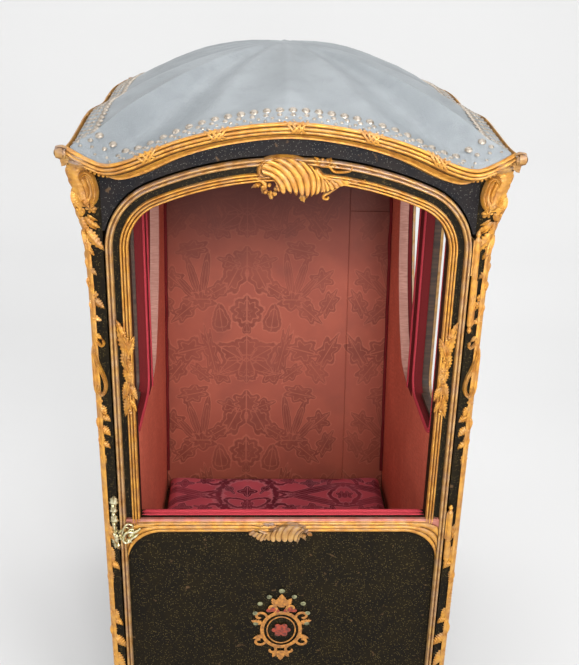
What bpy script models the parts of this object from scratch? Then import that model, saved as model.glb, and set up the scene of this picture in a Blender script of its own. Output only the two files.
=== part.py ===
# A sedan chair: a closed carried chair with a lacquered body, gilt mouldings, a domed leather roof,
# one arched front door and a silk-lined cabin. X runs to the right seen from the front, Y from the
# front to the rear and Z up, with the origin on the floor under the middle. Lengths are in metres.

import math

import bmesh
import bpy
from mathutils import Matrix, Vector
from mathutils.geometry import tessellate_polygon

# Clearances
FIT_GAP = 0.0003
DOOR_GAP = 0.004
KNUCKLE_GAP = 0.0005

# Body
BODY_DEPTH = 0.930
WALL_OUTER = 0.347
WALL_THICKNESS = 0.0315
PANEL_THICKNESS = 0.030
FOOT_HEIGHT = 0.045
BASE_HEIGHT = 0.080
BASE_THICKNESS = 0.035
FLOOR_THICKNESS = 0.015
POST_DEPTH = 0.042
POST_CLEARANCE = 0.0015
POST_FOOT_OUTER = 0.372
POST_FLARE = 0.038
CONSOLE_INNER = 0.374
CONSOLE_PROUD = 0.016
POST_CORNER = 0.006

# Door
DOOR_HALF_WIDTH = 0.3475
DOOR_LIFT = 0.005
DOOR_SPRING = 1.300
DOOR_CROWN = 1.478
DOOR_CORNER_RADIUS = 0.135
OUTER_MOULDING_WIDTH = 0.014
OUTER_MOULDING_HEIGHT = 0.012
STRIP_WIDTH = 0.0125
INNER_MOULDING_WIDTH = 0.017
INNER_MOULDING_HEIGHT = 0.010
SILL_HEIGHT = 0.708
RAIL_HEIGHT = 0.033
RAIL_SHOULDER_RADIUS = 0.075
RAIL_PROUD = 0.014
RAIL_HORN_DROP = 0.050
BOTTOM_RAIL_HEIGHT = 0.045
DOOR_PANEL_RECESS = 0.004
TOP_SHELL_WIDTH = 0.180
TOP_SHELL_HEIGHT = 0.078
TOP_SHELL_SHIFT = 0.025
SMALL_SHELL_WIDTH = 0.125
SMALL_SHELL_HEIGHT = 0.060
SHELL_PROUD = 0.014
CARTOUCHE_WIDTH = 0.138
CARTOUCHE_HEIGHT = 0.211
CARTOUCHE_CENTRE = 0.4245
CARTOUCHE_PROUD = 0.005

# Side windows
SPLIT_DROP = 0.046
FRONT_STILE = 0.060
REAR_STILE = 0.270
PILLAR_WIDTH = 0.073
WINDOW_SILL = 0.875
WINDOW_HEAD = 0.068
WINDOW_CORNER = 0.040
QUARTER_SILL = 0.846
WINDOW_MOULDING_WIDTH = 0.014
WINDOW_MOULDING_HEIGHT = 0.008
WINDOW_MOULDING_SETBACK = 0.002
SASH_THICKNESS = 0.012
SASH_SHOWING = 0.010
PANEL_MARGIN = 0.050
PANEL_MOULDING_WIDTH = 0.016
PANEL_MOULDING_HEIGHT = 0.008
PANEL_CORNER = 0.060

# Cabin
LINING_THICKNESS = 0.0035
SEAT_TOP = 0.4365
SEAT_LENGTH = 0.423
SEAT_BOARD_THICKNESS = 0.018
CUSHION_THICKNESS = 0.055
CUSHION_ROUND = 0.014
BACK_SETBACK = 0.272
BACK_RAKE = 0.167
BACK_TOP = 1.400
BACK_PAD_THICKNESS = 0.022

# Roof
CORNICE_HALF_WIDTH = 0.405
CORNICE_OVERHANG = 0.040
CORNICE_INNER_X = 0.320
CORNICE_SEATING = 0.025
CORNICE_HEIGHT = 0.033
CORNICE_STEP = 0.018
CORNER_BASE = 0.006
CORNICE_END = 0.368
CORNICE_SIDE_SETBACK = 0.050
FRONT_DIP = 1.468
FRONT_RISE = 0.079
SIDE_LOW = 1.499
SIDE_RISE = 0.024
VOLUTE_PROUD = 0.004
VOLUTE_Z = 1.489
VOLUTE_RADIUS = 0.0135
VOLUTE_LENGTH = 0.022
SHELL_CLEARANCE = 0.002
SHELL_EDGE = 0.050
SHELL_THICKNESS = 0.012
BAND_WIDTH = 0.036
BAND_RISE = 0.018
DOME_TOP = 1.645
HOLLOW_DEPTH = 0.012

# Ironwork
HINGE_X = 0.356
HINGE_PROUD = 0.008
HINGE_RADIUS = 0.006
UPPER_HINGE = (1.137, 1.251, 1.345)
LOWER_HINGE = (0.589, 0.654, 0.743)
HINGE_LEAF = 0.002
HINGE_LEAF_DEPTH = 0.022
HINGE_PLATE_WIDTH = 0.012
ROOF_HINGE_X = 0.200
ROOF_HINGE_PROUD = 0.010
ROOF_HINGE_SETDOWN = 0.040
ROOF_HINGE_WIDTH = 0.060
ROOF_HINGE_LEAF = 0.003
ROOF_HINGE_DROP = 0.040
KEEPER_DROP = 0.098
KEEPER_RISE = 0.052
KEEPER_WIDTH = 0.014
KEEPER_PROUD = 0.005
LATCH_DROP = 0.040
LATCH_PLATE_WIDTH = 0.011
LATCH_PLATE_LENGTH = 0.060
LATCH_SPINDLE = 0.004
LATCH_REACH = 0.026
LATCH_LEVER_LENGTH = 0.038
LATCH_LEVER_SIZE = 0.007
BRACKET_Y = 0.215
BRACKET_DROP = 0.206
BRACKET_OPENING_WIDTH = 0.050
BRACKET_OPENING_HEIGHT = 0.066
BRACKET_DEPTH = 0.040
BRACKET_IRON = 0.005
BRACKET_EAR = 0.022

# Outlines as shares of the sizes above
# height of the roof edge over the door: share of the half width, share of the rise
FRONT_LINE_SHARES = (
    (0.0, 1.0), (0.28, 0.86), (0.52, 0.555), (0.72, 0.135), (0.83, 0.0), (0.91, 0.13), (1.0, 0.39),
)
# height of the roof edge over the side windows: share of the half depth, share of the rise
SIDE_LINE_SHARES = (
    (-1.0, 0.0), (-0.88, 0.1), (-0.57, 0.86), (-0.43, 0.94), (-0.12, 0.58), (0.08, 0.92),
    (0.3, 1.0), (0.75, 0.54), (0.9, 0.1), (1.0, 0.0),
)
# corner post: share of the height, share of the flare sideways, share of the console's forward swell
POST_SHARES = (
    (0.0, 0.2, 0.0), (0.012, 0.3, 0.0), (0.03, 0.04, 0.0), (0.28, 0.13, 0.0), (0.84, 0.24, 0.0),
    (0.89, 0.3, 0.0), (0.92, 0.44, 0.0), (0.938, 0.58, 0.0), (0.952, 0.68, 0.6), (0.965, 0.72, 0.5),
    (0.98, 0.84, 0.66), (1.0, 0.95, 1.0),
)
# cornice: share of the way out, share of the height
CORNICE_SHARES = (
    (0.0, 0.0), (0.45, 0.0), (0.62, 0.18), (0.78, 0.24), (0.92, 0.36), (1.0, 0.6), (0.985, 0.85),
    (0.95, 1.0), (0.91, 0.96),
)
CORNICE_STEP_SHARE = 0.9
# middle of the window pillar: share of the body's depth, from its middle
PILLAR_SHARE = -0.15215
# moulding: share of the width, share of the height
MOULDING_SHARES = (
    (0.0, 0.0), (0.0, 0.5), (0.2, 0.86), (0.5, 1.0), (0.8, 0.86), (1.0, 0.5), (1.0, 0.0),
)
# rear edge of the quarter window: share of its length, share of its height
QUARTER_SHARES = (
    (0.0, 0.0), (0.34, 0.034), (0.5, 0.117), (0.6, 0.177), (0.81, 0.372), (0.94, 0.585),
    (0.99, 0.747), (1.0, 0.93),
)
# dome rings: share of the way from the foot to the middle
DOME_SHARES = (0.0, 0.04, 0.1, 0.2, 0.35, 0.55, 0.78, 0.94)
DOME_POWER = 2.0
# ribs under the leather: share of the way along a side of the dome
RIB_SHARES = (-1.0, -0.46, 0.0, 0.46, 1.0)
HOLLOW_START = 0.12
# shell ornament: share of the half width, share of the height
SHELL_SHARES = (
    (0.0, 0.0), (0.34, 0.08), (0.62, 0.3), (1.0, 0.34), (0.84, 0.66), (0.5, 0.84), (0.0, 1.0),
)
ARC_STEPS = 6
CROWN_STEPS = 12
LINE_STEPS = 4
ROUND_SIDES = 14

FRONT_FACE = -BODY_DEPTH / 2
REAR_FACE = BODY_DEPTH / 2
ROOF_HINGE_Z = FRONT_DIP - ROOF_HINGE_SETDOWN
WINDOW_TOP = FRONT_DIP - WINDOW_HEAD
WINDOW_FRONT = FRONT_FACE + FRONT_STILE
WINDOW_PILLAR_FRONT = PILLAR_SHARE * BODY_DEPTH - PILLAR_WIDTH / 2
WINDOW_PILLAR_REAR = WINDOW_PILLAR_FRONT + PILLAR_WIDTH
QUARTER_LENGTH = REAR_FACE - REAR_STILE - WINDOW_PILLAR_REAR
BACK_FOOT = REAR_FACE - BACK_SETBACK
SEAT_FRONT = BACK_FOOT - SEAT_LENGTH
CORNICE_HALF_DEPTH = REAR_FACE + CORNICE_OVERHANG
CORNICE_INNER_Y = REAR_FACE - CORNICE_SEATING
CORNICE_SIDE_END = REAR_FACE - CORNICE_SIDE_SETBACK
VOLUTE_X = CORNICE_HALF_WIDTH + VOLUTE_PROUD
VOLUTE_Y = CORNICE_HALF_DEPTH + VOLUTE_PROUD
KEEPER_LOW = SILL_HEIGHT - KEEPER_DROP
KEEPER_HIGH = SILL_HEIGHT + KEEPER_RISE
LATCH_HEIGHT = SILL_HEIGHT - LATCH_DROP
WALL_INNER = WALL_OUTER - WALL_THICKNESS
LINING_FACE = WALL_INNER - LINING_THICKNESS
BASE_TOP = FOOT_HEIGHT + BASE_HEIGHT
DOOR_BOTTOM = BASE_TOP + DOOR_LIFT
POST_INNER = DOOR_HALF_WIDTH + DOOR_GAP
DOOR_BACK = FRONT_FACE + PANEL_THICKNESS
JAMB_FRONT = DOOR_BACK + DOOR_GAP
REAR_INNER = REAR_FACE - PANEL_THICKNESS
WINDOW_OFFSET = OUTER_MOULDING_WIDTH + STRIP_WIDTH + INNER_MOULDING_WIDTH
OPENING_HALF = DOOR_HALF_WIDTH - WINDOW_OFFSET
FIELD_HALF = DOOR_HALF_WIDTH - OUTER_MOULDING_WIDTH
RAIL_BOTTOM = SILL_HEIGHT - RAIL_HEIGHT
SEAT_BOARD_TOP = SEAT_TOP - CUSHION_THICKNESS
FLOOR_TOP = BASE_TOP
HINGE_Y = FRONT_FACE - HINGE_PROUD
ROOF_HINGE_Y = REAR_FACE + ROOF_HINGE_PROUD
LOWER_SILL = min(WINDOW_SILL, QUARTER_SILL)
WALL_SPLIT = LOWER_SILL - SPLIT_DROP
BRACKET_Z = LOWER_SILL - BRACKET_DROP
STEP_X = CORNICE_INNER_X + CORNICE_STEP_SHARE * (CORNICE_HALF_WIDTH - CORNICE_INNER_X)
STEP_Y = CORNICE_INNER_Y + CORNICE_STEP_SHARE * (CORNICE_HALF_DEPTH - CORNICE_INNER_Y)
SHELL_HALF_WIDTH = STEP_X - SHELL_CLEARANCE
SHELL_HALF_DEPTH = STEP_Y - SHELL_CLEARANCE

# colour, roughness, metallic
MATERIALS = {
    "lacquer": ((0.028, 0.028, 0.018), 0.35, 0.0),
    "gilt": ((0.62, 0.36, 0.08), 0.40, 1.0),
    "leather": ((0.10, 0.12, 0.14), 0.50, 0.0),
    "damask": ((0.30, 0.08, 0.05), 0.80, 0.0),
    "velvet": ((0.30, 0.03, 0.06), 0.85, 0.0),
    "brass": ((0.60, 0.52, 0.28), 0.35, 1.0),
    "iron": ((0.08, 0.07, 0.06), 0.55, 1.0),
    "wood": ((0.10, 0.05, 0.03), 0.60, 0.0),
    "painted": ((0.35, 0.24, 0.10), 0.50, 0.0),
}


def clear_scene():
    for thing in list(bpy.data.objects):
        bpy.data.objects.remove(thing, do_unlink=True)


def material(name):
    made = bpy.data.materials.get(name)
    if made:
        return made
    colour, roughness, metallic = MATERIALS[name]
    made = bpy.data.materials.new(name)
    made.use_nodes = True
    shader = made.node_tree.nodes["Principled BSDF"]
    shader.inputs["Base Color"].default_value = (*colour, 1.0)
    shader.inputs["Roughness"].default_value = roughness
    shader.inputs["Metallic"].default_value = metallic
    return made


def add_object(name, bm, finish, parent=None, smooth=False):
    # the mesh is written in world places and moved back under its parent's origin
    origin = parent.location if parent else Vector((0.0, 0.0, 0.0))
    bmesh.ops.translate(bm, verts=bm.verts, vec=-origin)
    bmesh.ops.recalc_face_normals(bm, faces=bm.faces)
    mesh = bpy.data.meshes.new(name)
    bm.to_mesh(mesh)
    bm.free()
    mesh.materials.append(material(finish))
    made = bpy.data.objects.new(name, mesh)
    bpy.context.collection.objects.link(made)
    made.parent = parent
    if smooth:
        mesh.shade_smooth()
        mesh.set_sharp_from_angle(angle=math.radians(40.0))
    return made


def add_pivot(name, place):
    pivot = bpy.data.objects.new(name, None)
    pivot.location = place
    bpy.context.collection.objects.link(pivot)
    return pivot


# Points and outlines

def arc(centre, radius, start, end, steps=ARC_STEPS):
    # angles in degrees, counter-clockwise when end is larger
    turns = [math.radians(start + (end - start) * i / steps) for i in range(steps + 1)]
    return [(centre[0] + radius * math.cos(t), centre[1] + radius * math.sin(t)) for t in turns]


def arch(inset, first=0.0):
    # three-centred arch from the right springing over the crown to the left, moved in by inset
    half = DOOR_HALF_WIDTH - inset
    rise = DOOR_CROWN - inset - DOOR_SPRING
    corner = DOOR_CORNER_RADIUS - inset
    run = half - corner
    crown = (run ** 2 + rise ** 2 - corner ** 2) / (2 * (rise - corner))
    centre_z = DOOR_SPRING + rise - crown
    meet = math.degrees(math.atan2(DOOR_SPRING - centre_z, run))
    right = arc((run, DOOR_SPRING), corner, first, meet)
    middle = arc((0.0, centre_z), crown, meet, 180.0 - meet, CROWN_STEPS)
    left = arc((-run, DOOR_SPRING), corner, 180.0 - meet, 180.0 - first)
    return right + middle[1:-1] + left


def rounded_box(u0, u1, v0, v1, radius):
    return (
        arc((u1 - radius, v0 + radius), radius, -90.0, 0.0)
        + arc((u1 - radius, v1 - radius), radius, 0.0, 90.0)
        + arc((u0 + radius, v1 - radius), radius, 90.0, 180.0)
        + arc((u0 + radius, v0 + radius), radius, 180.0, 270.0)
    )


def smooth_line(points, steps=LINE_STEPS):
    # a curve through the points, each stretch split in steps
    line = []
    last = len(points) - 1
    for i in range(last):
        p0, p1 = Vector(points[max(i - 1, 0)]), Vector(points[i])
        p2, p3 = Vector(points[i + 1]), Vector(points[min(i + 2, last)])
        for k in range(steps):
            t = k / steps
            a = 2 * p1 + (p2 - p0) * t
            b = (2 * p0 - 5 * p1 + 4 * p2 - p3) * t ** 2
            c = (3 * p1 - p0 - 3 * p2 + p3) * t ** 3
            line.append(tuple((a + b + c) / 2))
    line.append(tuple(points[last]))
    return line


def front_line():
    right = [(u * CORNICE_HALF_WIDTH, FRONT_DIP + v * FRONT_RISE) for u, v in FRONT_LINE_SHARES]
    left = [(-u, v) for u, v in reversed(right[1:])]
    return smooth_line(left + right, 3)


def side_line():
    points = [(u * CORNICE_HALF_DEPTH, SIDE_LOW + v * SIDE_RISE) for u, v in SIDE_LINE_SHARES]
    return smooth_line(points, 3)


FRONT_LINE = front_line()
SIDE_LINE = side_line()


def height_on(line, place):
    for (u0, v0), (u1, v1) in zip(line, line[1:]):
        if u0 <= place <= u1:
            return v0 + (v1 - v0) * (place - u0) / (u1 - u0)
    return line[0][1] if place < line[0][0] else line[-1][1]


def stretch_of(line, start, end):
    inner = [point for point in line if start + FIT_GAP < point[0] < end - FIT_GAP]
    return [(start, height_on(line, start)), *inner, (end, height_on(line, end))]


def offset_line(points, distance, closed):
    # each point moves to the left of the way the line runs
    count = len(points)
    moved = []
    for i, point in enumerate(points):
        here = Vector(point)
        before = Vector(points[i - 1]) if closed or i else None
        after = Vector(points[(i + 1) % count]) if closed or i < count - 1 else None
        ways = []
        if before is not None:
            ways.append((here - before).normalized())
        if after is not None:
            ways.append((after - here).normalized())
        way = sum(ways, Vector((0.0, 0.0))).normalized()
        spread = way.dot(ways[0])
        moved.append((point[0] - way.y * distance / spread, point[1] + way.x * distance / spread))
    return moved


# Where a flat outline stands

def on_front(u, v, proud):
    return (u, FRONT_FACE - proud, v)


def on_rear(u, v, proud):
    return (u, REAR_FACE + proud, v)


def on_side(side):
    return lambda u, v, proud: (side * (WALL_OUTER + proud), u, v)


def slab(bm, outlines, stand, near, far):
    # a flat solid between two depths, the first outline outside and the others as holes
    flat = [[Vector((u, v, 0.0)) for u, v in outline] for outline in outlines]
    faces = tessellate_polygon(flat)
    points = [point for outline in outlines for point in outline]
    layers = [[bm.verts.new(stand(u, v, depth)) for u, v in points] for depth in (near, far)]
    for layer in layers:
        for face in faces:
            bm.faces.new([layer[i] for i in face])
    start = 0
    for outline in outlines:
        count = len(outline)
        for i in range(count):
            a, b = start + i, start + (i + 1) % count
            bm.faces.new([layers[0][a], layers[0][b], layers[1][b], layers[1][a]])
        start += count


def skin(bm, rings, closed_ring=True, closed_rows=False):
    # joins rows of points into a solid: rows end in caps unless the rows close on themselves
    rows = [[bm.verts.new(point) for point in ring] for ring in rings]
    count = len(rows[0])
    pairs = list(zip(rows, rows[1:]))
    if closed_rows:
        pairs.append((rows[-1], rows[0]))
    for low, high in pairs:
        for i in range(count if closed_ring else count - 1):
            j = (i + 1) % count
            bm.faces.new([low[i], low[j], high[j], high[i]])
    if not closed_rows:
        bm.faces.new(rows[0])
        bm.faces.new(rows[-1])
    if not closed_ring:
        bm.faces.new([row[0] for row in rows])
        bm.faces.new([row[-1] for row in rows])


def moulding(name, path, closed, width, height, stand, finish="gilt", parent=None):
    # a half-round strip that lies on a face, to the left of the way its path runs
    bm = bmesh.new()
    strips = []
    for across, up in MOULDING_SHARES:
        strip = offset_line(path, across * width, closed)
        strips.append([stand(u, v, FIT_GAP + up * height) for u, v in strip])
    skin(bm, strips, closed_ring=closed, closed_rows=True)
    return add_object(name, bm, finish, parent, smooth=True)


def box(bm, low, high):
    sizes = [b - a for a, b in zip(low, high)]
    middle = [(a + b) / 2 for a, b in zip(low, high)]
    place = Matrix.Translation(middle) @ Matrix.Diagonal((*sizes, 1.0))
    bmesh.ops.create_cube(bm, size=1.0, matrix=place)


def box_object(name, low, high, finish, parent=None):
    bm = bmesh.new()
    box(bm, low, high)
    return add_object(name, bm, finish, parent)


def turned(bm, profile, axis_place, turn=None):
    # turned solid round Z through a place: profile rows are height and radius, ends closed
    rings = []
    for height, radius in profile:
        circle = arc((0.0, 0.0), radius, 0.0, 360.0, ROUND_SIDES)[:-1]
        rings.append([Vector((x, y, height)) for x, y in circle])
    spin = turn.to_4x4() if turn else Matrix.Identity(4)
    place = Matrix.Translation(axis_place) @ spin
    skin(bm, [[place @ point for point in ring] for ring in rings])


def joined(name, parts, finish, parent=None, smooth=False):
    # unites overlapping closed shapes into one solid
    base = None
    for number, build in enumerate(parts):
        bm = bmesh.new()
        build(bm)
        if base is None:
            base = add_object(name, bm, finish, parent, smooth)
            continue
        tool = add_object(f"{name}_join_{number}", bm, finish, parent)
        tool.hide_render = True
        tool.display_type = "WIRE"
        union = base.modifiers.new("union", "BOOLEAN")
        union.operation = "UNION"
        union.solver = "EXACT"
        union.object = tool
    return base


# Body

def base_frame():
    outer = [(-1, -1), (1, -1), (1, 1), (-1, 1)]
    half_x, half_y = POST_INNER - FIT_GAP, -FRONT_FACE
    corner_x, corner_y = WALL_OUTER, -JAMB_FRONT
    outline = []
    for sx, sy in outer:
        notch = [(sx * corner_x, sy * corner_y), (sx * half_x, sy * corner_y), (sx * half_x, sy * half_y)]
        outline += notch if sx * sy > 0 else list(reversed(notch))
    inner_x, inner_y = WALL_OUTER - BASE_THICKNESS, half_y - BASE_THICKNESS
    hole = [(sx * inner_x, sy * inner_y) for sx, sy in outer]
    bm = bmesh.new()
    slab(bm, [outline, hole], lambda u, v, z: (u, v, z), FOOT_HEIGHT, BASE_TOP - FIT_GAP)
    add_object("base_frame", bm, "lacquer")
    inset = FIT_GAP
    box_object(
        "floor_board",
        (-inner_x + inset, -inner_y + inset, BASE_TOP - FLOOR_THICKNESS),
        (inner_x - inset, inner_y - inset, BASE_TOP),
        "wood",
    )


def post_top(x):
    return height_on(FRONT_LINE, x) - CORNICE_HEIGHT - POST_CLEARANCE


def corner_posts():
    for side, side_name in ((-1, "left"), (1, "right")):
        for end, end_name in ((-1, "front"), (1, "rear")):
            rings = []
            for share, flare, swell in POST_SHARES:
                outer = POST_FOOT_OUTER + flare * POST_FLARE
                face = -FRONT_FACE
                proud = face + swell * CONSOLE_PROUD
                back = face - POST_DEPTH
                rebate = -JAMB_FRONT
                inner_back = WALL_OUTER + FIT_GAP
                console = min(CONSOLE_INNER, outer - 2 * POST_CORNER)
                plan = [
                    (POST_INNER, face), (console, proud), (outer - POST_CORNER, proud),
                    (outer, proud - POST_CORNER), (outer, back), (inner_back, back),
                    (inner_back, rebate - FIT_GAP), (POST_INNER, rebate - FIT_GAP),
                ]
                rings.append([(side * x, end * y, share * post_top(x)) for x, y in plan])
            bm = bmesh.new()
            skin(bm, rings)
            add_object(f"post_{end_name}_{side_name}", bm, "lacquer")


def front_frieze():
    half = POST_INNER - FIT_GAP
    lower = arch(-DOOR_GAP, first=15.0)
    top = [(u, v - CORNICE_HEIGHT - FIT_GAP) for u, v in stretch_of(FRONT_LINE, -half, half)]
    outline = [(half, lower[0][1]), *lower, (-half, lower[-1][1]), *top]
    bm = bmesh.new()
    slab(bm, [outline], on_front, 0.0, -PANEL_THICKNESS)
    add_object("frieze_front", bm, "lacquer")


def rear_wall():
    half = POST_INNER - FIT_GAP
    top = [(u, v - CORNICE_HEIGHT - FIT_GAP) for u, v in stretch_of(FRONT_LINE, -half, half)]
    outline = [(half, BASE_TOP), (-half, BASE_TOP), *top]
    bm = bmesh.new()
    slab(bm, [outline], on_rear, 0.0, -PANEL_THICKNESS)
    add_object("rear_wall", bm, "lacquer")
    field = OPENING_HALF
    path = rounded_box(-field, field, BASE_TOP + PANEL_MARGIN, DOOR_SPRING, PANEL_CORNER)
    moulding("rear_moulding", path, True, PANEL_MOULDING_WIDTH, PANEL_MOULDING_HEIGHT, on_rear)


def front_window():
    return rounded_box(WINDOW_FRONT, WINDOW_PILLAR_FRONT, WINDOW_SILL, WINDOW_TOP, WINDOW_CORNER)


def quarter_window():
    height = WINDOW_TOP - QUARTER_SILL
    edge = [
        (WINDOW_PILLAR_REAR + u * QUARTER_LENGTH, QUARTER_SILL + v * height)
        for u, v in QUARTER_SHARES
    ]
    curve = smooth_line(edge, 2)
    front, rear = WINDOW_PILLAR_REAR, WINDOW_PILLAR_REAR + QUARTER_LENGTH
    corner = WINDOW_CORNER
    shoulder = arc((rear - corner, WINDOW_TOP - corner), corner, 0.0, 90.0)[1:]
    nose = arc((front + corner, WINDOW_TOP - corner), corner, 90.0, 180.0)
    return [*curve, *shoulder, *nose]


def under_cornice(start, end):
    return [(u, v - CORNICE_HEIGHT - FIT_GAP) for u, v in stretch_of(SIDE_LINE, start, end)]


def side_walls():
    front = JAMB_FRONT
    rear = REAR_INNER - FIT_GAP
    shoulder = FRONT_DIP - CORNICE_HEIGHT
    split, sill = (WINDOW_PILLAR_FRONT + WINDOW_PILLAR_REAR) / 2, WALL_SPLIT + FIT_GAP
    ahead, behind = split - FIT_GAP / 2, split + FIT_GAP / 2
    window, quarter = front_window(), quarter_window()
    pieces = (
        ("side_wall", [(rear, BASE_TOP), (front, BASE_TOP), (front, WALL_SPLIT), (rear, WALL_SPLIT)], []),
        (
            "window_frame_front",
            [(ahead, sill), (front, sill), (front, shoulder), *under_cornice(-CORNICE_SIDE_END, ahead)],
            [window],
        ),
        (
            "window_frame_quarter",
            [(rear, sill), (behind, sill), *under_cornice(behind, CORNICE_SIDE_END), (rear, shoulder)],
            [quarter],
        ),
    )
    for side, name in ((-1, "left"), (1, "right")):
        for title, outline, holes in pieces:
            bm = bmesh.new()
            slab(bm, [outline, *holes], on_side(side), 0.0, -WALL_THICKNESS)
            add_object(f"{title}_{name}", bm, "lacquer")
        edge = WINDOW_MOULDING_SETBACK + WINDOW_MOULDING_WIDTH
        for title, hole in (("front", window), ("quarter", quarter)):
            path = offset_line(hole, -edge, True)
            moulding(
                f"window_moulding_{title}_{name}", path, True,
                WINDOW_MOULDING_WIDTH, WINDOW_MOULDING_HEIGHT, on_side(side),
            )
        low = BASE_TOP + PANEL_MARGIN
        high = LOWER_SILL - edge - PANEL_MARGIN / 2
        path = rounded_box(
            WINDOW_FRONT + WINDOW_MOULDING_WIDTH, rear - PANEL_MARGIN, low, high, PANEL_CORNER
        )
        moulding(
            f"side_moulding_{name}", path, True,
            PANEL_MOULDING_WIDTH, PANEL_MOULDING_HEIGHT, on_side(side),
        )
        sash_x = (WALL_OUTER + WALL_INNER) / 2
        box_object(
            f"sash_rail_{name}",
            (side * sash_x - SASH_THICKNESS / 2, WINDOW_FRONT + WINDOW_CORNER, WINDOW_SILL + FIT_GAP),
            (side * sash_x + SASH_THICKNESS / 2, WINDOW_PILLAR_FRONT - WINDOW_CORNER,
             WINDOW_SILL + SASH_SHOWING),
            "wood",
        )


# Cabin

def back_face(z):
    return BACK_FOOT + BACK_RAKE * (z - SEAT_TOP)


def cabin():
    half = WALL_INNER - FIT_GAP
    low, high = SEAT_BOARD_TOP + FIT_GAP, BACK_TOP
    near = [(back_face(low), low), (back_face(high), high)]
    pad = [near[0], (near[0][0] + BACK_PAD_THICKNESS, low), (near[1][0] + BACK_PAD_THICKNESS, high), near[1]]
    bm = bmesh.new()
    slab(bm, [pad], lambda u, v, x: (x, u, v), -half, half)
    add_object("back_pad", bm, "damask")

    board_low = SEAT_BOARD_TOP - SEAT_BOARD_THICKNESS
    box_object(
        "seat_board",
        (-half, SEAT_FRONT, board_low),
        (half, back_face(low) + BACK_PAD_THICKNESS, SEAT_BOARD_TOP),
        "wood",
    )
    box_object(
        "seat_riser",
        (-half, SEAT_FRONT + SEAT_BOARD_THICKNESS, FLOOR_TOP + FIT_GAP),
        (half, SEAT_FRONT + 2 * SEAT_BOARD_THICKNESS, board_low - FIT_GAP),
        "wood",
    )
    cushion_half = LINING_FACE - FIT_GAP
    front, rear = SEAT_FRONT, back_face(low) - FIT_GAP
    path = rounded_box(front, rear, low, SEAT_TOP, CUSHION_ROUND)
    bm = bmesh.new()
    slab(bm, [path], lambda u, v, x: (x, u, v), -cushion_half, cushion_half)
    add_object("seat_cushion", bm, "velvet", smooth=True)

    panel_low = SEAT_BOARD_TOP + FIT_GAP
    panel_high = LOWER_SILL - FIT_GAP
    for side, name in ((-1, "left"), (1, "right")):
        outline = [
            (back_face(panel_low) - FIT_GAP, panel_low), (back_face(panel_high) - FIT_GAP, panel_high),
            (JAMB_FRONT, panel_high), (JAMB_FRONT, panel_low),
        ]
        bm = bmesh.new()
        inner, outer = LINING_FACE, WALL_INNER - FIT_GAP
        slab(bm, [outline], lambda u, v, x, s=side: (s * x, u, v), inner, outer)
        add_object(f"lining_{name}", bm, "damask")


# Door

def door_outline(inset, bottom):
    top = arch(inset)
    half = DOOR_HALF_WIDTH - inset
    return [(-half, bottom), (half, bottom), *top]


def panel_outline(inset):
    half = FIELD_HALF - inset
    top = RAIL_BOTTOM - inset
    low = DOOR_BOTTOM + BOTTOM_RAIL_HEIGHT + inset
    radius = RAIL_SHOULDER_RADIUS - inset
    return [
        (-half, low), (half, low),
        *arc((half - radius, top - radius), radius, 0.0, 90.0),
        *arc((radius - half, top - radius), radius, 90.0, 180.0),
    ]


def shell(name, centre, low, width, height, proud, base, parent):
    half = width / 2
    right = [(u * half, low + v * height) for u, v in SHELL_SHARES]
    left = [(-u, v) for u, v in reversed(right[1:-1])]
    outline = [(centre + u, v) for u, v in right + left]
    bm = bmesh.new()
    slab(bm, [outline], on_front, base + FIT_GAP, base + proud)
    add_object(name, bm, "gilt", parent)


def door(pivot):
    panel = panel_outline(0.0)
    opening = [(-OPENING_HALF, SILL_HEIGHT), (OPENING_HALF, SILL_HEIGHT), *arch(WINDOW_OFFSET)]
    bm = bmesh.new()
    slab(bm, [door_outline(0.0, DOOR_BOTTOM), opening, panel], on_front, 0.0, -PANEL_THICKNESS)
    add_object("door_frame", bm, "lacquer", pivot)

    bm = bmesh.new()
    slab(bm, [panel_outline(FIT_GAP)], on_front, -DOOR_PANEL_RECESS, -PANEL_THICKNESS)
    add_object("door_panel", bm, "lacquer", pivot)

    moulding(
        "door_outer_moulding", door_outline(0.0, DOOR_BOTTOM), True,
        OUTER_MOULDING_WIDTH, OUTER_MOULDING_HEIGHT, on_front, parent=pivot,
    )
    inner = arch(OUTER_MOULDING_WIDTH + STRIP_WIDTH)
    foot = SILL_HEIGHT + FIT_GAP
    path = [(inner[0][0], foot), *inner, (inner[-1][0], foot)]
    moulding(
        "door_window_moulding", path, False,
        INNER_MOULDING_WIDTH, INNER_MOULDING_HEIGHT, on_front, parent=pivot,
    )

    horn = RAIL_BOTTOM - RAIL_SHOULDER_RADIUS
    edge = FIELD_HALF - FIT_GAP
    corner = edge - RAIL_SHOULDER_RADIUS
    lower = [
        *arc((-corner, horn), RAIL_SHOULDER_RADIUS - FIT_GAP, 180.0, 90.0),
        *arc((corner, horn), RAIL_SHOULDER_RADIUS - FIT_GAP, 90.0, 0.0),
    ]
    top_half = OPENING_HALF + INNER_MOULDING_WIDTH
    drop = SILL_HEIGHT - RAIL_HORN_DROP
    outline = [*lower, (edge, horn), (edge, drop), (top_half, SILL_HEIGHT),
               (-top_half, SILL_HEIGHT), (-edge, drop), (-edge, horn)]
    bm = bmesh.new()
    slab(bm, [outline], on_front, FIT_GAP, RAIL_PROUD)
    add_object("door_rail_moulding", bm, "gilt", pivot)


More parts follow.
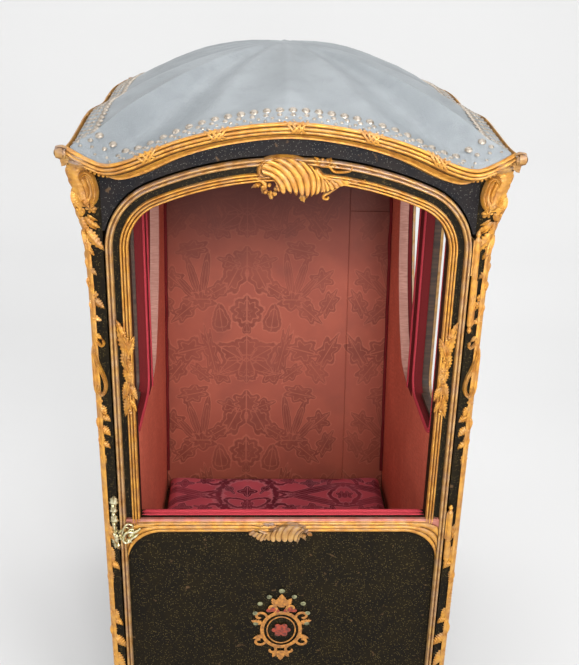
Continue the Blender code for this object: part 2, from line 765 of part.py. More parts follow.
def door_ornament(pivot):
    # the crown shell covers both arched mouldings and the strip between them
    shell(
        "door_crown_shell", TOP_SHELL_SHIFT, DOOR_CROWN - TOP_SHELL_HEIGHT - FIT_GAP, TOP_SHELL_WIDTH,
        TOP_SHELL_HEIGHT, SHELL_PROUD, OUTER_MOULDING_HEIGHT + FIT_GAP, pivot,
    )
    shell(
        "door_rail_shell", 0.0, SILL_HEIGHT - SMALL_SHELL_HEIGHT, SMALL_SHELL_WIDTH,
        SMALL_SHELL_HEIGHT, SHELL_PROUD, RAIL_PROUD, pivot,
    )
    half, tall = CARTOUCHE_WIDTH / 2, CARTOUCHE_HEIGHT / 2
    turns = [math.tau * i / (2 * ROUND_SIDES) for i in range(2 * ROUND_SIDES)]
    oval = [(half * math.cos(t), CARTOUCHE_CENTRE + tall * math.sin(t)) for t in turns]
    bm = bmesh.new()
    slab(bm, [oval], on_front, FIT_GAP - DOOR_PANEL_RECESS, CARTOUCHE_PROUD - DOOR_PANEL_RECESS)
    add_object("door_cartouche", bm, "painted", pivot)


def barrel(bm, low, high, foot_up):
    # half of a lift-off hinge: a round barrel with a turned finial at its free end
    length = high - low
    tip = HINGE_RADIUS
    if foot_up:
        rows = ((low, tip), (high - 3 * tip, tip), (high - 2 * tip, tip / 2), (high - tip, tip * 0.8),
                (low + length, tip / 4))
    else:
        rows = ((low, tip / 4), (low + tip, tip * 0.8), (low + 2 * tip, tip / 2), (low + 3 * tip, tip),
                (high, tip))
    turned(bm, rows, (HINGE_X, HINGE_Y, 0.0))


def door_hinges(pivot):
    inset = 2 * HINGE_RADIUS
    for name, (low, split, high) in (("upper", UPPER_HINGE), ("lower", LOWER_HINGE)):
        def post_barrel(bm, low=low, split=split):
            barrel(bm, low, split, False)

        def post_leaf(bm, low=low, split=split):
            box(
                bm,
                (POST_INNER + FIT_GAP, HINGE_Y, low + 3 * HINGE_RADIUS),
                (POST_INNER + HINGE_PLATE_WIDTH, FRONT_FACE - FIT_GAP, split - HINGE_RADIUS),
            )

        def door_barrel(bm, split=split, high=high):
            barrel(bm, split + KNUCKLE_GAP, high, True)

        def door_leaf(bm, split=split, high=high):
            x = DOOR_HALF_WIDTH + FIT_GAP
            box(
                bm,
                (x, HINGE_Y, split + HINGE_RADIUS),
                (x + HINGE_LEAF, FRONT_FACE + HINGE_LEAF_DEPTH, high - 3 * HINGE_RADIUS),
            )

        def door_wrap(bm, split=split, high=high):
            x = DOOR_HALF_WIDTH + FIT_GAP
            box(
                bm,
                (x, HINGE_Y - HINGE_LEAF, split + HINGE_RADIUS),
                (HINGE_X, HINGE_Y + HINGE_LEAF, high - 3 * HINGE_RADIUS),
            )

        joined(f"hinge_{name}_post", (post_barrel, post_leaf), "gilt")
        joined(f"hinge_{name}_door", (door_barrel, door_leaf, door_wrap), "gilt", pivot)


def latch(pivot):
    # a keeper on the left post, and a plate with a lever on the door
    post_mid = -(POST_INNER + KEEPER_WIDTH / 2 + FIT_GAP)
    box_object(
        "latch_keeper",
        (post_mid - KEEPER_WIDTH / 2, FRONT_FACE - KEEPER_PROUD, KEEPER_LOW),
        (post_mid + KEEPER_WIDTH / 2, FRONT_FACE - FIT_GAP, KEEPER_HIGH),
        "brass",
    )
    base = FRONT_FACE - RAIL_PROUD - FIT_GAP
    plate_front = base - KEEPER_PROUD
    lever_back = base - LATCH_REACH
    centre = -(FIELD_HALF - LATCH_PLATE_WIDTH)
    half_plate = LATCH_PLATE_WIDTH / 2
    half_lever = LATCH_LEVER_SIZE / 2

    def plate(bm):
        low = LATCH_HEIGHT - LATCH_PLATE_LENGTH / 2
        box(bm, (centre - half_plate, plate_front, low),
            (centre + half_plate, base, low + LATCH_PLATE_LENGTH))

    def spindle(bm):
        turn = Vector((0.0, 1.0, 0.0)).to_track_quat("Z", "Y").to_matrix()
        rows = ((lever_back - half_lever, LATCH_SPINDLE), (plate_front + half_lever, LATCH_SPINDLE))
        turned(bm, rows, (centre, 0.0, LATCH_HEIGHT), turn)

    def lever(bm):
        tip = centre + LATCH_LEVER_LENGTH / 2
        box(bm, (tip - LATCH_LEVER_LENGTH, lever_back - LATCH_LEVER_SIZE, LATCH_HEIGHT - half_lever),
            (tip, lever_back, LATCH_HEIGHT + half_lever))

    joined("latch", (plate, spindle, lever), "brass", pivot)


def pole_brackets():
    for side, side_name in ((-1, "left"), (1, "right")):
        for end, end_name in ((-1, "front"), (1, "rear")):
            inner = WALL_OUTER + FIT_GAP
            reach = BRACKET_IRON + BRACKET_OPENING_WIDTH + BRACKET_IRON
            low = BRACKET_Z - BRACKET_OPENING_HEIGHT / 2 - BRACKET_IRON
            high = BRACKET_Z + BRACKET_OPENING_HEIGHT / 2 + BRACKET_IRON
            loop = [
                (inner, low - BRACKET_EAR), (inner + BRACKET_IRON, low - BRACKET_EAR),
                (inner + BRACKET_IRON, low), (inner + reach, low), (inner + reach, high),
                (inner + BRACKET_IRON, high), (inner + BRACKET_IRON, high + BRACKET_EAR),
                (inner, high + BRACKET_EAR),
            ]
            hole = [
                (inner + BRACKET_IRON, low + BRACKET_IRON),
                (inner + reach - BRACKET_IRON, low + BRACKET_IRON),
                (inner + reach - BRACKET_IRON, high - BRACKET_IRON),
                (inner + BRACKET_IRON, high - BRACKET_IRON),
            ]
            bm = bmesh.new()
            near = end * BRACKET_Y - BRACKET_DEPTH / 2
            slab(bm, [loop, hole], lambda u, v, y, s=side: (s * u, y, v), near, near + BRACKET_DEPTH)
            add_object(f"pole_bracket_{end_name}_{side_name}", bm, "iron")


# Roof

def cornice_section(line_z, inner, outer):
    low = line_z - CORNICE_HEIGHT
    rows = [(inner + u * (outer - inner), low + v * CORNICE_HEIGHT) for u, v in CORNICE_SHARES]
    step = inner + CORNICE_STEP_SHARE * (outer - inner)
    return [*rows, (step, low + CORNICE_STEP), (inner, low + CORNICE_STEP)]


def cornices(pivot):
    for end, name in ((-1, "front"), (1, "rear")):
        rings = []
        for x, z in stretch_of(FRONT_LINE, -CORNICE_END, CORNICE_END):
            section = cornice_section(z, CORNICE_INNER_Y, CORNICE_HALF_DEPTH)
            rings.append([(x, end * y, up) for y, up in section])
        bm = bmesh.new()
        skin(bm, rings)
        add_object(f"cornice_{name}", bm, "gilt", pivot, smooth=True)
    reach = CORNICE_SIDE_END
    for side, name in ((-1, "left"), (1, "right")):
        rings = []
        for y, z in stretch_of(SIDE_LINE, -reach, reach):
            section = cornice_section(z, CORNICE_INNER_X, CORNICE_HALF_WIDTH)
            rings.append([(side * x, y, up) for x, up in section])
        bm = bmesh.new()
        skin(bm, rings)
        add_object(f"cornice_{name}", bm, "gilt", pivot, smooth=True)


def volutes(pivot):
    for side, side_name in ((-1, "left"), (1, "right")):
        for end, end_name in ((-1, "front"), (1, "rear")):
            near_x, near_y = CORNICE_END + FIT_GAP, CORNICE_SIDE_END + FIT_GAP
            far_x, far_y = CORNICE_HALF_WIDTH, CORNICE_HALF_DEPTH
            low = SIDE_LOW - CORNICE_HEIGHT

            def block(bm, side=side, end=end):
                xs, ys = sorted((side * near_x, side * far_x)), sorted((end * near_y, end * far_y))
                box(bm, (xs[0], ys[0], low), (xs[1], ys[1], low + CORNER_BASE))

            def rim(bm, side=side, end=end):
                outline = [(far_x, near_y), (far_x, far_y), (near_x, far_y), (near_x, STEP_Y),
                           (STEP_X, STEP_Y), (STEP_X, near_y)]
                slab(bm, [outline], lambda u, v, z: (side * u, end * v, z), low, SIDE_LOW)

            def scroll(bm, side=side, end=end):
                way = Vector((side, end, 0.0)).normalized()
                turn = way.to_track_quat("Z", "Y").to_matrix()
                half = VOLUTE_LENGTH / 2
                rows = ((-half, VOLUTE_RADIUS), (half, VOLUTE_RADIUS))
                turned(bm, rows, (side * VOLUTE_X, end * VOLUTE_Y, VOLUTE_Z), turn)

            joined(f"volute_{end_name}_{side_name}", (block, rim, scroll), "gilt", pivot)


def roof_ring(half_x, half_y, spread, heights):
    # one closed row of the roof: the knots over the door and windows, drawn in by spread
    ring = []
    front = [x for x, _ in stretch_of(FRONT_LINE, -CORNICE_INNER_X, CORNICE_INNER_X)]
    side = [y for y, _ in stretch_of(SIDE_LINE, -CORNICE_INNER_Y, CORNICE_INNER_Y)]
    corner = heights("corner", 0.0)
    for turn in (-1, 1):
        ring.append((turn * half_x, turn * half_y, corner))
        for x in front if turn < 0 else reversed(front):
            ring.append((x * spread, turn * half_y, heights("front", x)))
        ring.append((-turn * half_x, turn * half_y, corner))
        for y in side if turn < 0 else reversed(side):
            ring.append((-turn * half_x, y * spread, heights("side", y)))
    return ring


def hollow(kind, place):
    # how far the leather sinks between two ribs, from 0 on a rib to 1 halfway
    if kind == "corner":
        return 0.0
    half = SHELL_HALF_WIDTH if kind == "front" else SHELL_HALF_DEPTH
    way = place / (half - BAND_WIDTH)
    for near, far in zip(RIB_SHARES, RIB_SHARES[1:]):
        if near <= way <= far:
            return math.sin(math.pi * (way - near) / (far - near))
    return 0.0


def roof_shell(pivot):
    def seat(kind, place):
        # the ledge inside the cornice
        if kind == "front":
            line = height_on(FRONT_LINE, place)
        elif kind == "side":
            line = height_on(SIDE_LINE, place)
        else:
            line = SIDE_LOW
        return line - CORNICE_HEIGHT + CORNICE_STEP + FIT_GAP

    def edge(kind, place):
        return seat(kind, place) + SHELL_THICKNESS

    def foot(kind, place):
        return edge(kind, place) + BAND_RISE

    foot_x, foot_y = SHELL_HALF_WIDTH - BAND_WIDTH, SHELL_HALF_DEPTH - BAND_WIDTH
    outer = [
        roof_ring(SHELL_HALF_WIDTH, SHELL_HALF_DEPTH, 1.0, seat),
        roof_ring(SHELL_HALF_WIDTH, SHELL_HALF_DEPTH, 1.0, edge),
    ]
    under = [roof_ring(SHELL_HALF_WIDTH - SHELL_EDGE, SHELL_HALF_DEPTH - SHELL_EDGE, 1.0, seat)]
    for share in DOME_SHARES:
        climb = (1.0 - (1.0 - share) ** DOME_POWER) ** (1.0 / DOME_POWER)
        depth = HOLLOW_DEPTH * min(1.0, share / HOLLOW_START) * (1.0 - share)

        def dome(kind, place, climb=climb, depth=depth):
            sag = depth * hollow(kind, place)
            return foot(kind, place) * (1.0 - climb) + DOME_TOP * climb - sag

        def ceiling(kind, place, dome=dome):
            return dome(kind, place) - SHELL_THICKNESS

        draw = 1.0 - share
        outer.append(roof_ring(foot_x * draw, foot_y * draw, draw, dome))
        inner_x, inner_y = (foot_x - SHELL_THICKNESS) * draw, (foot_y - SHELL_THICKNESS) * draw
        under.append(roof_ring(inner_x, inner_y, draw * inner_x / (foot_x * draw), ceiling))
    bm = bmesh.new()
    skin(bm, [*reversed(under), *outer])
    add_object("roof_shell", bm, "leather", pivot, smooth=True)


def roof_hinges(pivot):
    for side, name in ((-1, "left"), (1, "right")):
        third = ROOF_HINGE_WIDTH / 3
        middle = side * ROOF_HINGE_X
        turn = Vector((1.0, 0.0, 0.0)).to_track_quat("Z", "Y").to_matrix()
        radius = ROOF_HINGE_PROUD - 2 * ROOF_HINGE_LEAF

        def knuckle(bm, low, high):
            turned(bm, ((low, radius), (high, radius)), (middle, ROOF_HINGE_Y, ROOF_HINGE_Z), turn)

        def wall_left(bm):
            knuckle(bm, -1.5 * third, -0.5 * third - KNUCKLE_GAP)

        def wall_right(bm):
            knuckle(bm, 0.5 * third + KNUCKLE_GAP, 1.5 * third)

        def wall_leaf(bm):
            box(
                bm,
                (middle - 1.5 * third, REAR_FACE + FIT_GAP, ROOF_HINGE_Z - ROOF_HINGE_DROP),
                (middle + 1.5 * third, REAR_FACE + ROOF_HINGE_LEAF, ROOF_HINGE_Z - 2 * radius),
            )

        def wall_ears(bm, shift):
            box(
                bm,
                (middle + shift * third - third / 2 + KNUCKLE_GAP, REAR_FACE + FIT_GAP,
                 ROOF_HINGE_Z - 3 * radius),
                (middle + shift * third + third / 2 - KNUCKLE_GAP, ROOF_HINGE_Y, ROOF_HINGE_Z),
            )

        def lid_knuckle(bm):
            knuckle(bm, -0.5 * third, 0.5 * third)

        def lid_leaf(bm):
            top = height_on(FRONT_LINE, ROOF_HINGE_X + third / 2) - CORNICE_HEIGHT - FIT_GAP
            box(
                bm,
                (middle - third / 2, ROOF_HINGE_Y - ROOF_HINGE_LEAF / 2, ROOF_HINGE_Z),
                (middle + third / 2, ROOF_HINGE_Y + ROOF_HINGE_LEAF / 2, top),
            )

        joined(
            f"roof_hinge_wall_{name}",
            (wall_leaf, wall_left, wall_right, lambda bm: wall_ears(bm, -1.0), lambda bm: wall_ears(bm, 1.0)),
            "iron",
        )
        joined(f"roof_hinge_lid_{name}", (lid_knuckle, lid_leaf), "iron", pivot)


def main():
    clear_scene()
    base_frame()
    corner_posts()
    front_frieze()
    rear_wall()
    side_walls()
    cabin()
    door_pivot = add_pivot("door_pivot", (HINGE_X, HINGE_Y, 0.0))
    door(door_pivot)
    door_ornament(door_pivot)
    door_hinges(door_pivot)
    latch(door_pivot)
    pole_brackets()
    roof_pivot = add_pivot("roof_pivot", (0.0, ROOF_HINGE_Y, ROOF_HINGE_Z))
    cornices(roof_pivot)
    volutes(roof_pivot)
    roof_shell(roof_pivot)
    roof_hinges(roof_pivot)


main()
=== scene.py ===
"""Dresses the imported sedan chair: leather roof, carved gilding, lacquer, silk lining and the studio."""

import math

import bmesh
import bpy
from mathutils import geometry, Matrix, noise, Vector


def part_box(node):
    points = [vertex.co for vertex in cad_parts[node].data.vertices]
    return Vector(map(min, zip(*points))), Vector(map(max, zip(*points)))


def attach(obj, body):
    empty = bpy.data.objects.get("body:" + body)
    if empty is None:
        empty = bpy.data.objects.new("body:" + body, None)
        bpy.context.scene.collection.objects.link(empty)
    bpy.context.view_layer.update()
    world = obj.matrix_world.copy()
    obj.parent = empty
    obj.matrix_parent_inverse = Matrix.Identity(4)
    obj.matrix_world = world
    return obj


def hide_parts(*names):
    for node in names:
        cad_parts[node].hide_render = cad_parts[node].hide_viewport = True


bl_info = {
    "name": "Sedan chair finish",
    "version": (1, 0, 0),
    "blender": (4, 5, 0),
    "location": "3D View > Sidebar > Chair",
    "description": "Builds the visible surfaces of a lacquered and gilded sedan chair",
    "category": "Object",
}

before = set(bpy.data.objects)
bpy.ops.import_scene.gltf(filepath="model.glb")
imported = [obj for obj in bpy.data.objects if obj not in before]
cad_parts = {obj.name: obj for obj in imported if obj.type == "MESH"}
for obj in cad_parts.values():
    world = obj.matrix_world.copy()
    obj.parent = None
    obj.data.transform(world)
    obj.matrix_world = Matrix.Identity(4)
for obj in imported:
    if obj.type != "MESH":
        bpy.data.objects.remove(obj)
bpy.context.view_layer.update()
MM = 0.001


# Colours and node helpers

def linear(code):
    """sRGB hex to linear red, green and blue."""
    parts = [int(code[i:i + 2], 16) / 255 for i in (1, 3, 5)]
    return tuple(c / 12.92 if c <= 0.04045 else ((c + 0.055) / 1.055) ** 2.4 for c in parts)


def add(tree, kind, settings=None, **inputs):
    """Adds a node with its settings; inputs are values or sockets, named or by number as in_0."""
    made = tree.nodes.new(kind)
    for key, value in (settings or {}).items():
        setattr(made, key, value)
    for key, value in inputs.items():
        words = key.replace("_", " ")
        socket = made.inputs[int(key[3:])] if key.startswith("in_") else made.inputs[words]
        if isinstance(value, bpy.types.NodeSocket):
            tree.links.new(value, socket)
        elif socket.type == "RGBA" and len(value) == 3:
            socket.default_value = (*value, 1.0)
        else:
            socket.default_value = value
    return made


def new_material(name, roughness, metallic=0.0):
    made = bpy.data.materials.new(name)
    made.use_nodes = True
    shader = made.node_tree.nodes["Principled BSDF"]
    shader.inputs["Roughness"].default_value = roughness
    shader.inputs["Metallic"].default_value = metallic
    return made, made.node_tree, shader


def place(tree):
    return add(tree, "ShaderNodeTexCoord").outputs["Object"]


def ramp(tree, value, low, high):
    """From 0 where a value is low to 1 where it is high."""
    return add(tree, "ShaderNodeMapRange", Value=value, From_Min=low, From_Max=high).outputs[0]


def clouds(tree, size, low=0.35, high=0.65, vector=None):
    """Soft patches of one size in metres, from 0 to 1."""
    spots = add(tree, "ShaderNodeTexNoise", Vector=vector or place(tree), Scale=1 / size, Detail=4.0)
    return ramp(tree, spots.outputs["Fac"], low, high)


def sums(tree, operation, a, b=0.0, c=0.0):
    return add(tree, "ShaderNodeMath", {"operation": operation}, in_0=a, in_1=b, in_2=c).outputs[0]


def times(tree, a, b):
    return sums(tree, "MULTIPLY", a, b)


def axes_of(tree, vector):
    return add(tree, "ShaderNodeSeparateXYZ", Vector=vector).outputs


def blend_colour(tree, fac, a, b):
    return add(tree, "ShaderNodeMix", {"data_type": "RGBA"}, in_0=fac, in_6=a, in_7=b).outputs[2]


def dress(tree, shader, colour, height, distance, strength, **levels):
    """Gives a shader its colour, its relief in metres and any further levels by input name."""
    relief = add(tree, "ShaderNodeBump", Height=height, Distance=distance, Strength=strength)
    tree.links.new(relief.outputs["Normal"], shader.inputs["Normal"])
    tree.links.new(colour, shader.inputs["Base Color"])
    for key, value in levels.items():
        shader.inputs[key.replace("_", " ")].default_value = value


def weave(tree, pitch):
    """Crossed threads at one pitch in metres."""
    x, y, z = axes_of(tree, place(tree))
    turns = math.tau / pitch
    warp = sums(tree, "SINE", times(tree, sums(tree, "ADD", x, y), turns))
    weft = sums(tree, "SINE", times(tree, z, turns))
    return times(tree, warp, weft)


def rubbed(tree, size=0.005):
    """Darkening where carved faces meet, from ambient occlusion: painted shade in the hollows together with
    the dirt there, from 0 in hollows to 1 in the open.
    """
    made = add(tree, "ShaderNodeAmbientOcclusion", {"samples": 6}, Distance=size)
    return ramp(tree, made.outputs["AO"], 0.22, 0.78)


# Materials

def lacquer(name, ground, worn, fleck):
    # aventurine lacquer on wood: dark varnish with metal flecks under a clear coat, worn matt in places
    made, tree, shader = new_material(name, 0.42)
    tone = blend_colour(tree, clouds(tree, 0.05), ground, linear(worn))
    # the real flecks are about 0.5 mm, drawn coarser so that they show
    cells = add(tree, "ShaderNodeTexVoronoi", Vector=place(tree), Scale=1 / (2.7 * MM))
    fleck_size = ramp(tree, cells.outputs["Distance"], 0.34, 0.14)
    some = add(tree, "ShaderNodeSeparateColor", Color=cells.outputs["Color"])
    lit = sums(tree, "GREATER_THAN", some.outputs[0], 0.62)
    mask = times(tree, times(tree, fleck_size, lit), 0.62)
    colour = blend_colour(tree, mask, tone, linear(fleck))
    scuffs = clouds(tree, 0.018, 0.68, 0.74)
    colour = blend_colour(tree, times(tree, scuffs, 0.55), colour, linear("#6A5138"))
    dress(tree, shader, colour, clouds(tree, 0.004), 0.0003, 0.35, Specular_IOR_Level=0.06,
          Coat_Weight=0.02, Coat_Roughness=0.3)
    return made


def gilding(name, bright, shade, worn, wear):
    # water gilding on carved wood: leaf over clay and gesso, rubbed through on proud faces
    made, tree, shader = new_material(name, 0.42, 0.35)
    gold = blend_colour(tree, clouds(tree, 0.016), bright, linear(shade))
    # hollows darkened to #5A3310 by ambient occlusion: painted shade, with the dirt that gathers there
    gold = blend_colour(tree, rubbed(tree), linear("#5A3310"), gold)
    facing = axes_of(tree, add(tree, "ShaderNodeNewGeometry").outputs["Normal"])
    proud = times(tree, clouds(tree, 0.02, 0.42, 0.6), wear)
    upper = ramp(tree, facing[2], -0.4, 0.7)
    gold = blend_colour(tree, times(tree, proud, upper), gold, linear(worn))
    dress(tree, shader, gold, clouds(tree, 0.002), 0.0004, 0.5)
    return made


def oil_paint(name, light, dark):
    # oil paint laid over the lacquer: short soft strokes, thin at the edges
    made, tree, shader = new_material(name, 0.5)
    tone = blend_colour(tree, clouds(tree, 0.006), linear(light), linear(dark))
    dress(tree, shader, tone, clouds(tree, 0.0015), 0.0002, 0.4)
    return made


def roof_leather():
    # black hide stretched damp over the roof frame and waxed: fine grain, creases, a broad soft sheen; its
    # colour is a pale grey, a painted reflection of the bright surroundings on the black wax
    made, tree, shader = new_material("waxed black hide, painted grey reflection", 0.5)
    # pale grey from #848A8E to #92989C in place of black: painted reflection
    tone = blend_colour(tree, clouds(tree, 0.12), linear("#848A8E"), linear("#92989C"))
    stain = clouds(tree, 0.035, 0.5, 0.72)
    tone = blend_colour(tree, times(tree, stain, 0.25), tone, linear("#6C7276"))
    grain = add(tree, "ShaderNodeTexVoronoi", {"feature": "DISTANCE_TO_EDGE"}, Vector=place(tree),
                Scale=1 / (3.0 * MM))
    cracks = ramp(tree, grain.outputs[0], 0.0, 0.14)
    warped = add(tree, "ShaderNodeTexNoise", Vector=place(tree), Scale=1 / 0.02, Detail=8.0, Distortion=1.5)
    height = sums(tree, "MULTIPLY_ADD", cracks, 0.35, warped.outputs["Fac"])
    dress(tree, shader, tone, height, 0.0018, 0.9, Coat_Weight=0.3, Coat_Roughness=0.38)
    return made


def metal(name, colour, dark, roughness, size=0.01, grain=0.4):
    # cast metal, filed and handled: darker in the hollows, painted shade there as well as tarnish, brighter
    # on the rubbed faces
    made, tree, shader = new_material(name, roughness, 1.0)
    tone = blend_colour(tree, clouds(tree, size), linear(colour), linear(dark))
    # hollows darkened by ambient occlusion: painted shade, with the tarnish there
    tone = blend_colour(tree, rubbed(tree, 0.003), linear(dark), tone)
    dress(tree, shader, tone, clouds(tree, 0.0015), 0.0002, grain)
    return made


def bare_wood(name, light, dark):
    # planed wood with long grain, aged brown
    made, tree, shader = new_material(name, 0.6)
    stretched = add(tree, "ShaderNodeMapping", Vector=place(tree), Scale=(2.0, 40.0, 40.0))
    rings = clouds(tree, 0.25, vector=stretched.outputs[0])
    tone = blend_colour(tree, rings, linear(light), linear(dark))
    dress(tree, shader, tone, rings, 0.0003, 0.5)
    return made


def braid(name, lit, shade):
    # silk gimp braid twisted from fine cords 3 mm apart
    made, tree, shader = new_material(name, 0.75)
    x, y, z = axes_of(tree, place(tree))
    way = sums(tree, "ADD", sums(tree, "ADD", x, y), z)
    twist = sums(tree, "SINE", times(tree, way, math.tau / (3.0 * MM)))
    half = sums(tree, "MULTIPLY_ADD", twist, 0.5, 0.5)
    tone = blend_colour(tree, half, linear(shade), linear(lit))
    dress(tree, shader, tone, half, 0.0006, 0.7, Specular_IOR_Level=0.2)
    return made


def plain_silk(name, light, dark):
    # plain-woven silk: fine threads drawn coarser, 1.4 mm apart, slubs across, faded in clouds
    made, tree, shader = new_material(name, 0.62)
    long = add(tree, "ShaderNodeMapping", Vector=place(tree), Scale=(1.0, 1.0, 9.0))
    bars = clouds(tree, 0.024, vector=long.outputs[0])
    tone = blend_colour(tree, bars, linear(light), linear(dark))
    tone = blend_colour(tree, times(tree, clouds(tree, 0.09), 0.6), tone, linear(dark))
    dress(tree, shader, tone, weave(tree, 1.4 * MM), 0.0002, 0.4, Specular_IOR_Level=0.25)
    return made


# leaves and petals of the woven pattern: away from the mirror line, up, turn, half length,
# half width, lobes, cut
FLOWER_TABLE = (
    (0.0, 0.006, 90.0, 0.044, 0.046, 9.0, 0.1), (0.0, 0.004, 90.0, 0.017, 0.017, 5.0, 0.24),
    (0.0, -0.038, 90.0, 0.022, 0.012, 3.0, 0.2), (0.072, -0.016, 82.0, 0.04, 0.026, 3.0, 0.12),
    (0.038, 0.1, -62.0, 0.049, 0.033, 7.0, 0.1), (0.078, 0.066, -30.0, 0.037, 0.023, 7.0, 0.14),
    (0.0, 0.15, 90.0, 0.032, 0.044, 7.0, 0.14), (0.046, 0.142, 20.0, 0.034, 0.019, 5.0, 0.22),
    (0.116, 0.104, 98.0, 0.066, 0.013, 2.0, 0.05), (0.148, 0.098, 72.0, 0.061, 0.013, 2.0, 0.05),
    (0.17, 0.072, 48.0, 0.054, 0.013, 2.0, 0.05), (0.13, 0.04, 0.0, 0.044, 0.031, 7.0, 0.14),
    (0.208, 0.096, 40.0, 0.034, 0.028, 6.0, 0.24), (0.172, 0.006, -40.0, 0.044, 0.024, 7.0, 0.16),
    (0.228, 0.03, 62.0, 0.041, 0.023, 7.0, 0.18), (0.0, -0.096, 90.0, 0.034, 0.038, 7.0, 0.08),
    (0.0, -0.156, 90.0, 0.039, 0.033, 3.0, 0.12), (0.042, -0.112, 30.0, 0.046, 0.031, 4.0, 0.1),
    (0.044, -0.148, -34.0, 0.044, 0.028, 3.0, 0.12), (0.1, -0.112, 76.0, 0.073, 0.02, 9.0, 0.18),
    (0.158, -0.104, -14.0, 0.044, 0.036, 6.0, 0.18), (0.226, -0.11, 60.0, 0.054, 0.028, 7.0, 0.18),
    (0.196, -0.162, -52.0, 0.041, 0.026, 7.0, 0.16), (0.068, -0.174, 10.0, 0.027, 0.026, 5.0, 0.24),
    (0.0, -0.174, 90.0, 0.02, 0.026, 6.0, 0.24), (0.128, -0.168, 36.0, 0.037, 0.019, 7.0, 0.18),
    (0.15, 0.176, -12.0, 0.044, 0.026, 7.0, 0.16),
)
# bands, cartouches and scrolls of the seat's pattern, in the same columns; an eighth one is half
# the band's width as a share of the size, and rows without it are filled
STRAP_TABLE = (
    (0.0, 0.0, 90.0, 0.088, 0.082, 2.0, 0.03, 0.15), (0.0, 0.016, 90.0, 0.024, 0.024, 4.0, 0.22),
    (0.030, -0.040, 30.0, 0.030, 0.020, 3.0, 0.10, 0.24), (0.0, -0.052, 90.0, 0.024, 0.016, 5.0, 0.24),
    (0.050, 0.030, 60.0, 0.026, 0.010, 4.0, 0.26),
    (0.176, 0.020, 22.0, 0.110, 0.016, 2.0, 0.04), (0.176, -0.020, -22.0, 0.110, 0.016, 2.0, 0.04),
    (0.176, 0.060, 0.0, 0.024, 0.018, 4.0, 0.28), (0.176, -0.064, 0.0, 0.024, 0.018, 4.0, 0.28),
    (0.096, -0.082, -40.0, 0.036, 0.026, 3.0, 0.14, 0.22), (0.118, -0.066, 20.0, 0.024, 0.012, 5.0, 0.26),
    (0.096, 0.086, 40.0, 0.036, 0.026, 3.0, 0.14, 0.22), (0.118, 0.072, -20.0, 0.024, 0.012, 5.0, 0.26),
    (0.262, 0.0, 90.0, 0.044, 0.030, 4.0, 0.12, 0.20), (0.262, 0.0, 90.0, 0.018, 0.014, 5.0, 0.26),
    (0.236, 0.090, 60.0, 0.036, 0.018, 5.0, 0.26), (0.236, -0.090, -60.0, 0.036, 0.018, 5.0, 0.26),
    (0.0, 0.112, 90.0, 0.020, 0.030, 5.0, 0.26), (0.0, -0.112, 90.0, 0.020, 0.030, 5.0, 0.26),
)


def pattern(tree, across, along, width, rise, rows):
    """Figure and outlines of a mirrored woven pattern, one lobed leaf or petal for each row."""
    def fold(value, repeat):
        turned = sums(tree, "ADD", sums(tree, "DIVIDE", value, repeat), 0.5)
        return times(tree, sums(tree, "SUBTRACT", sums(tree, "FRACT", turned), 0.5), repeat)

    side = sums(tree, "ABSOLUTE", fold(across, width))
    up = fold(along, rise)
    spot = add(tree, "ShaderNodeCombineXYZ", X=side, Y=up)
    ragged = add(tree, "ShaderNodeTexNoise", Vector=spot.outputs[0], Scale=1 / 0.012, Detail=2.0)
    edge = sums(tree, "MULTIPLY_ADD", ragged.outputs["Fac"], 0.36, 0.82)
    found = None
    for u, v, turn, length, half, lobes, cut, *band in rows:
        local = add(tree, "ShaderNodeMapping", {"vector_type": "TEXTURE"}, Vector=spot.outputs[0],
                    Location=(u, v, 0.0), Rotation=(0.0, 0.0, math.radians(turn)), Scale=(length, half, 1.0))
        x, y, _ = axes_of(tree, local.outputs[0])
        angle = sums(tree, "ARCTAN2", y, x)
        reach = sums(tree, "MULTIPLY_ADD", sums(tree, "COSINE", times(tree, angle, lobes)), cut, 1.0)
        size = add(tree, "ShaderNodeVectorMath", {"operation": "LENGTH"}, in_0=local.outputs[0])
        depth = sums(tree, "SUBTRACT", times(tree, reach, edge), size.outputs["Value"])
        if band:
            depth = sums(tree, "SUBTRACT", band[0], sums(tree, "ABSOLUTE", depth))
        # the midrib runs along the leaf, the second rim inside its edge
        rib = sums(tree, "ADD", sums(tree, "ABSOLUTE", y), sums(tree, "LESS_THAN", depth, 0.1))
        rim = sums(tree, "ABSOLUTE", sums(tree, "SUBTRACT", depth, 0.36))
        mark = times(tree, sums(tree, "MINIMUM", rib, rim), -1.0)
        pair = add(tree, "ShaderNodeCombineXYZ", X=depth, Y=mark)
        if found is not None:
            pair = add(tree, "ShaderNodeVectorMath", {"operation": "MAXIMUM"}, in_0=found.outputs[0],
                       in_1=pair.outputs[0])
        found = pair
    total, veins, _ = axes_of(tree, found.outputs[0])
    veins = times(tree, veins, -1.0)
    figure = ramp(tree, total, -0.03, 0.05)
    border = ramp(tree, sums(tree, "ABSOLUTE", total), 0.085, 0.035)
    inner = ramp(tree, veins, 0.060, 0.025)
    return figure, sums(tree, "MAXIMUM", border, inner)


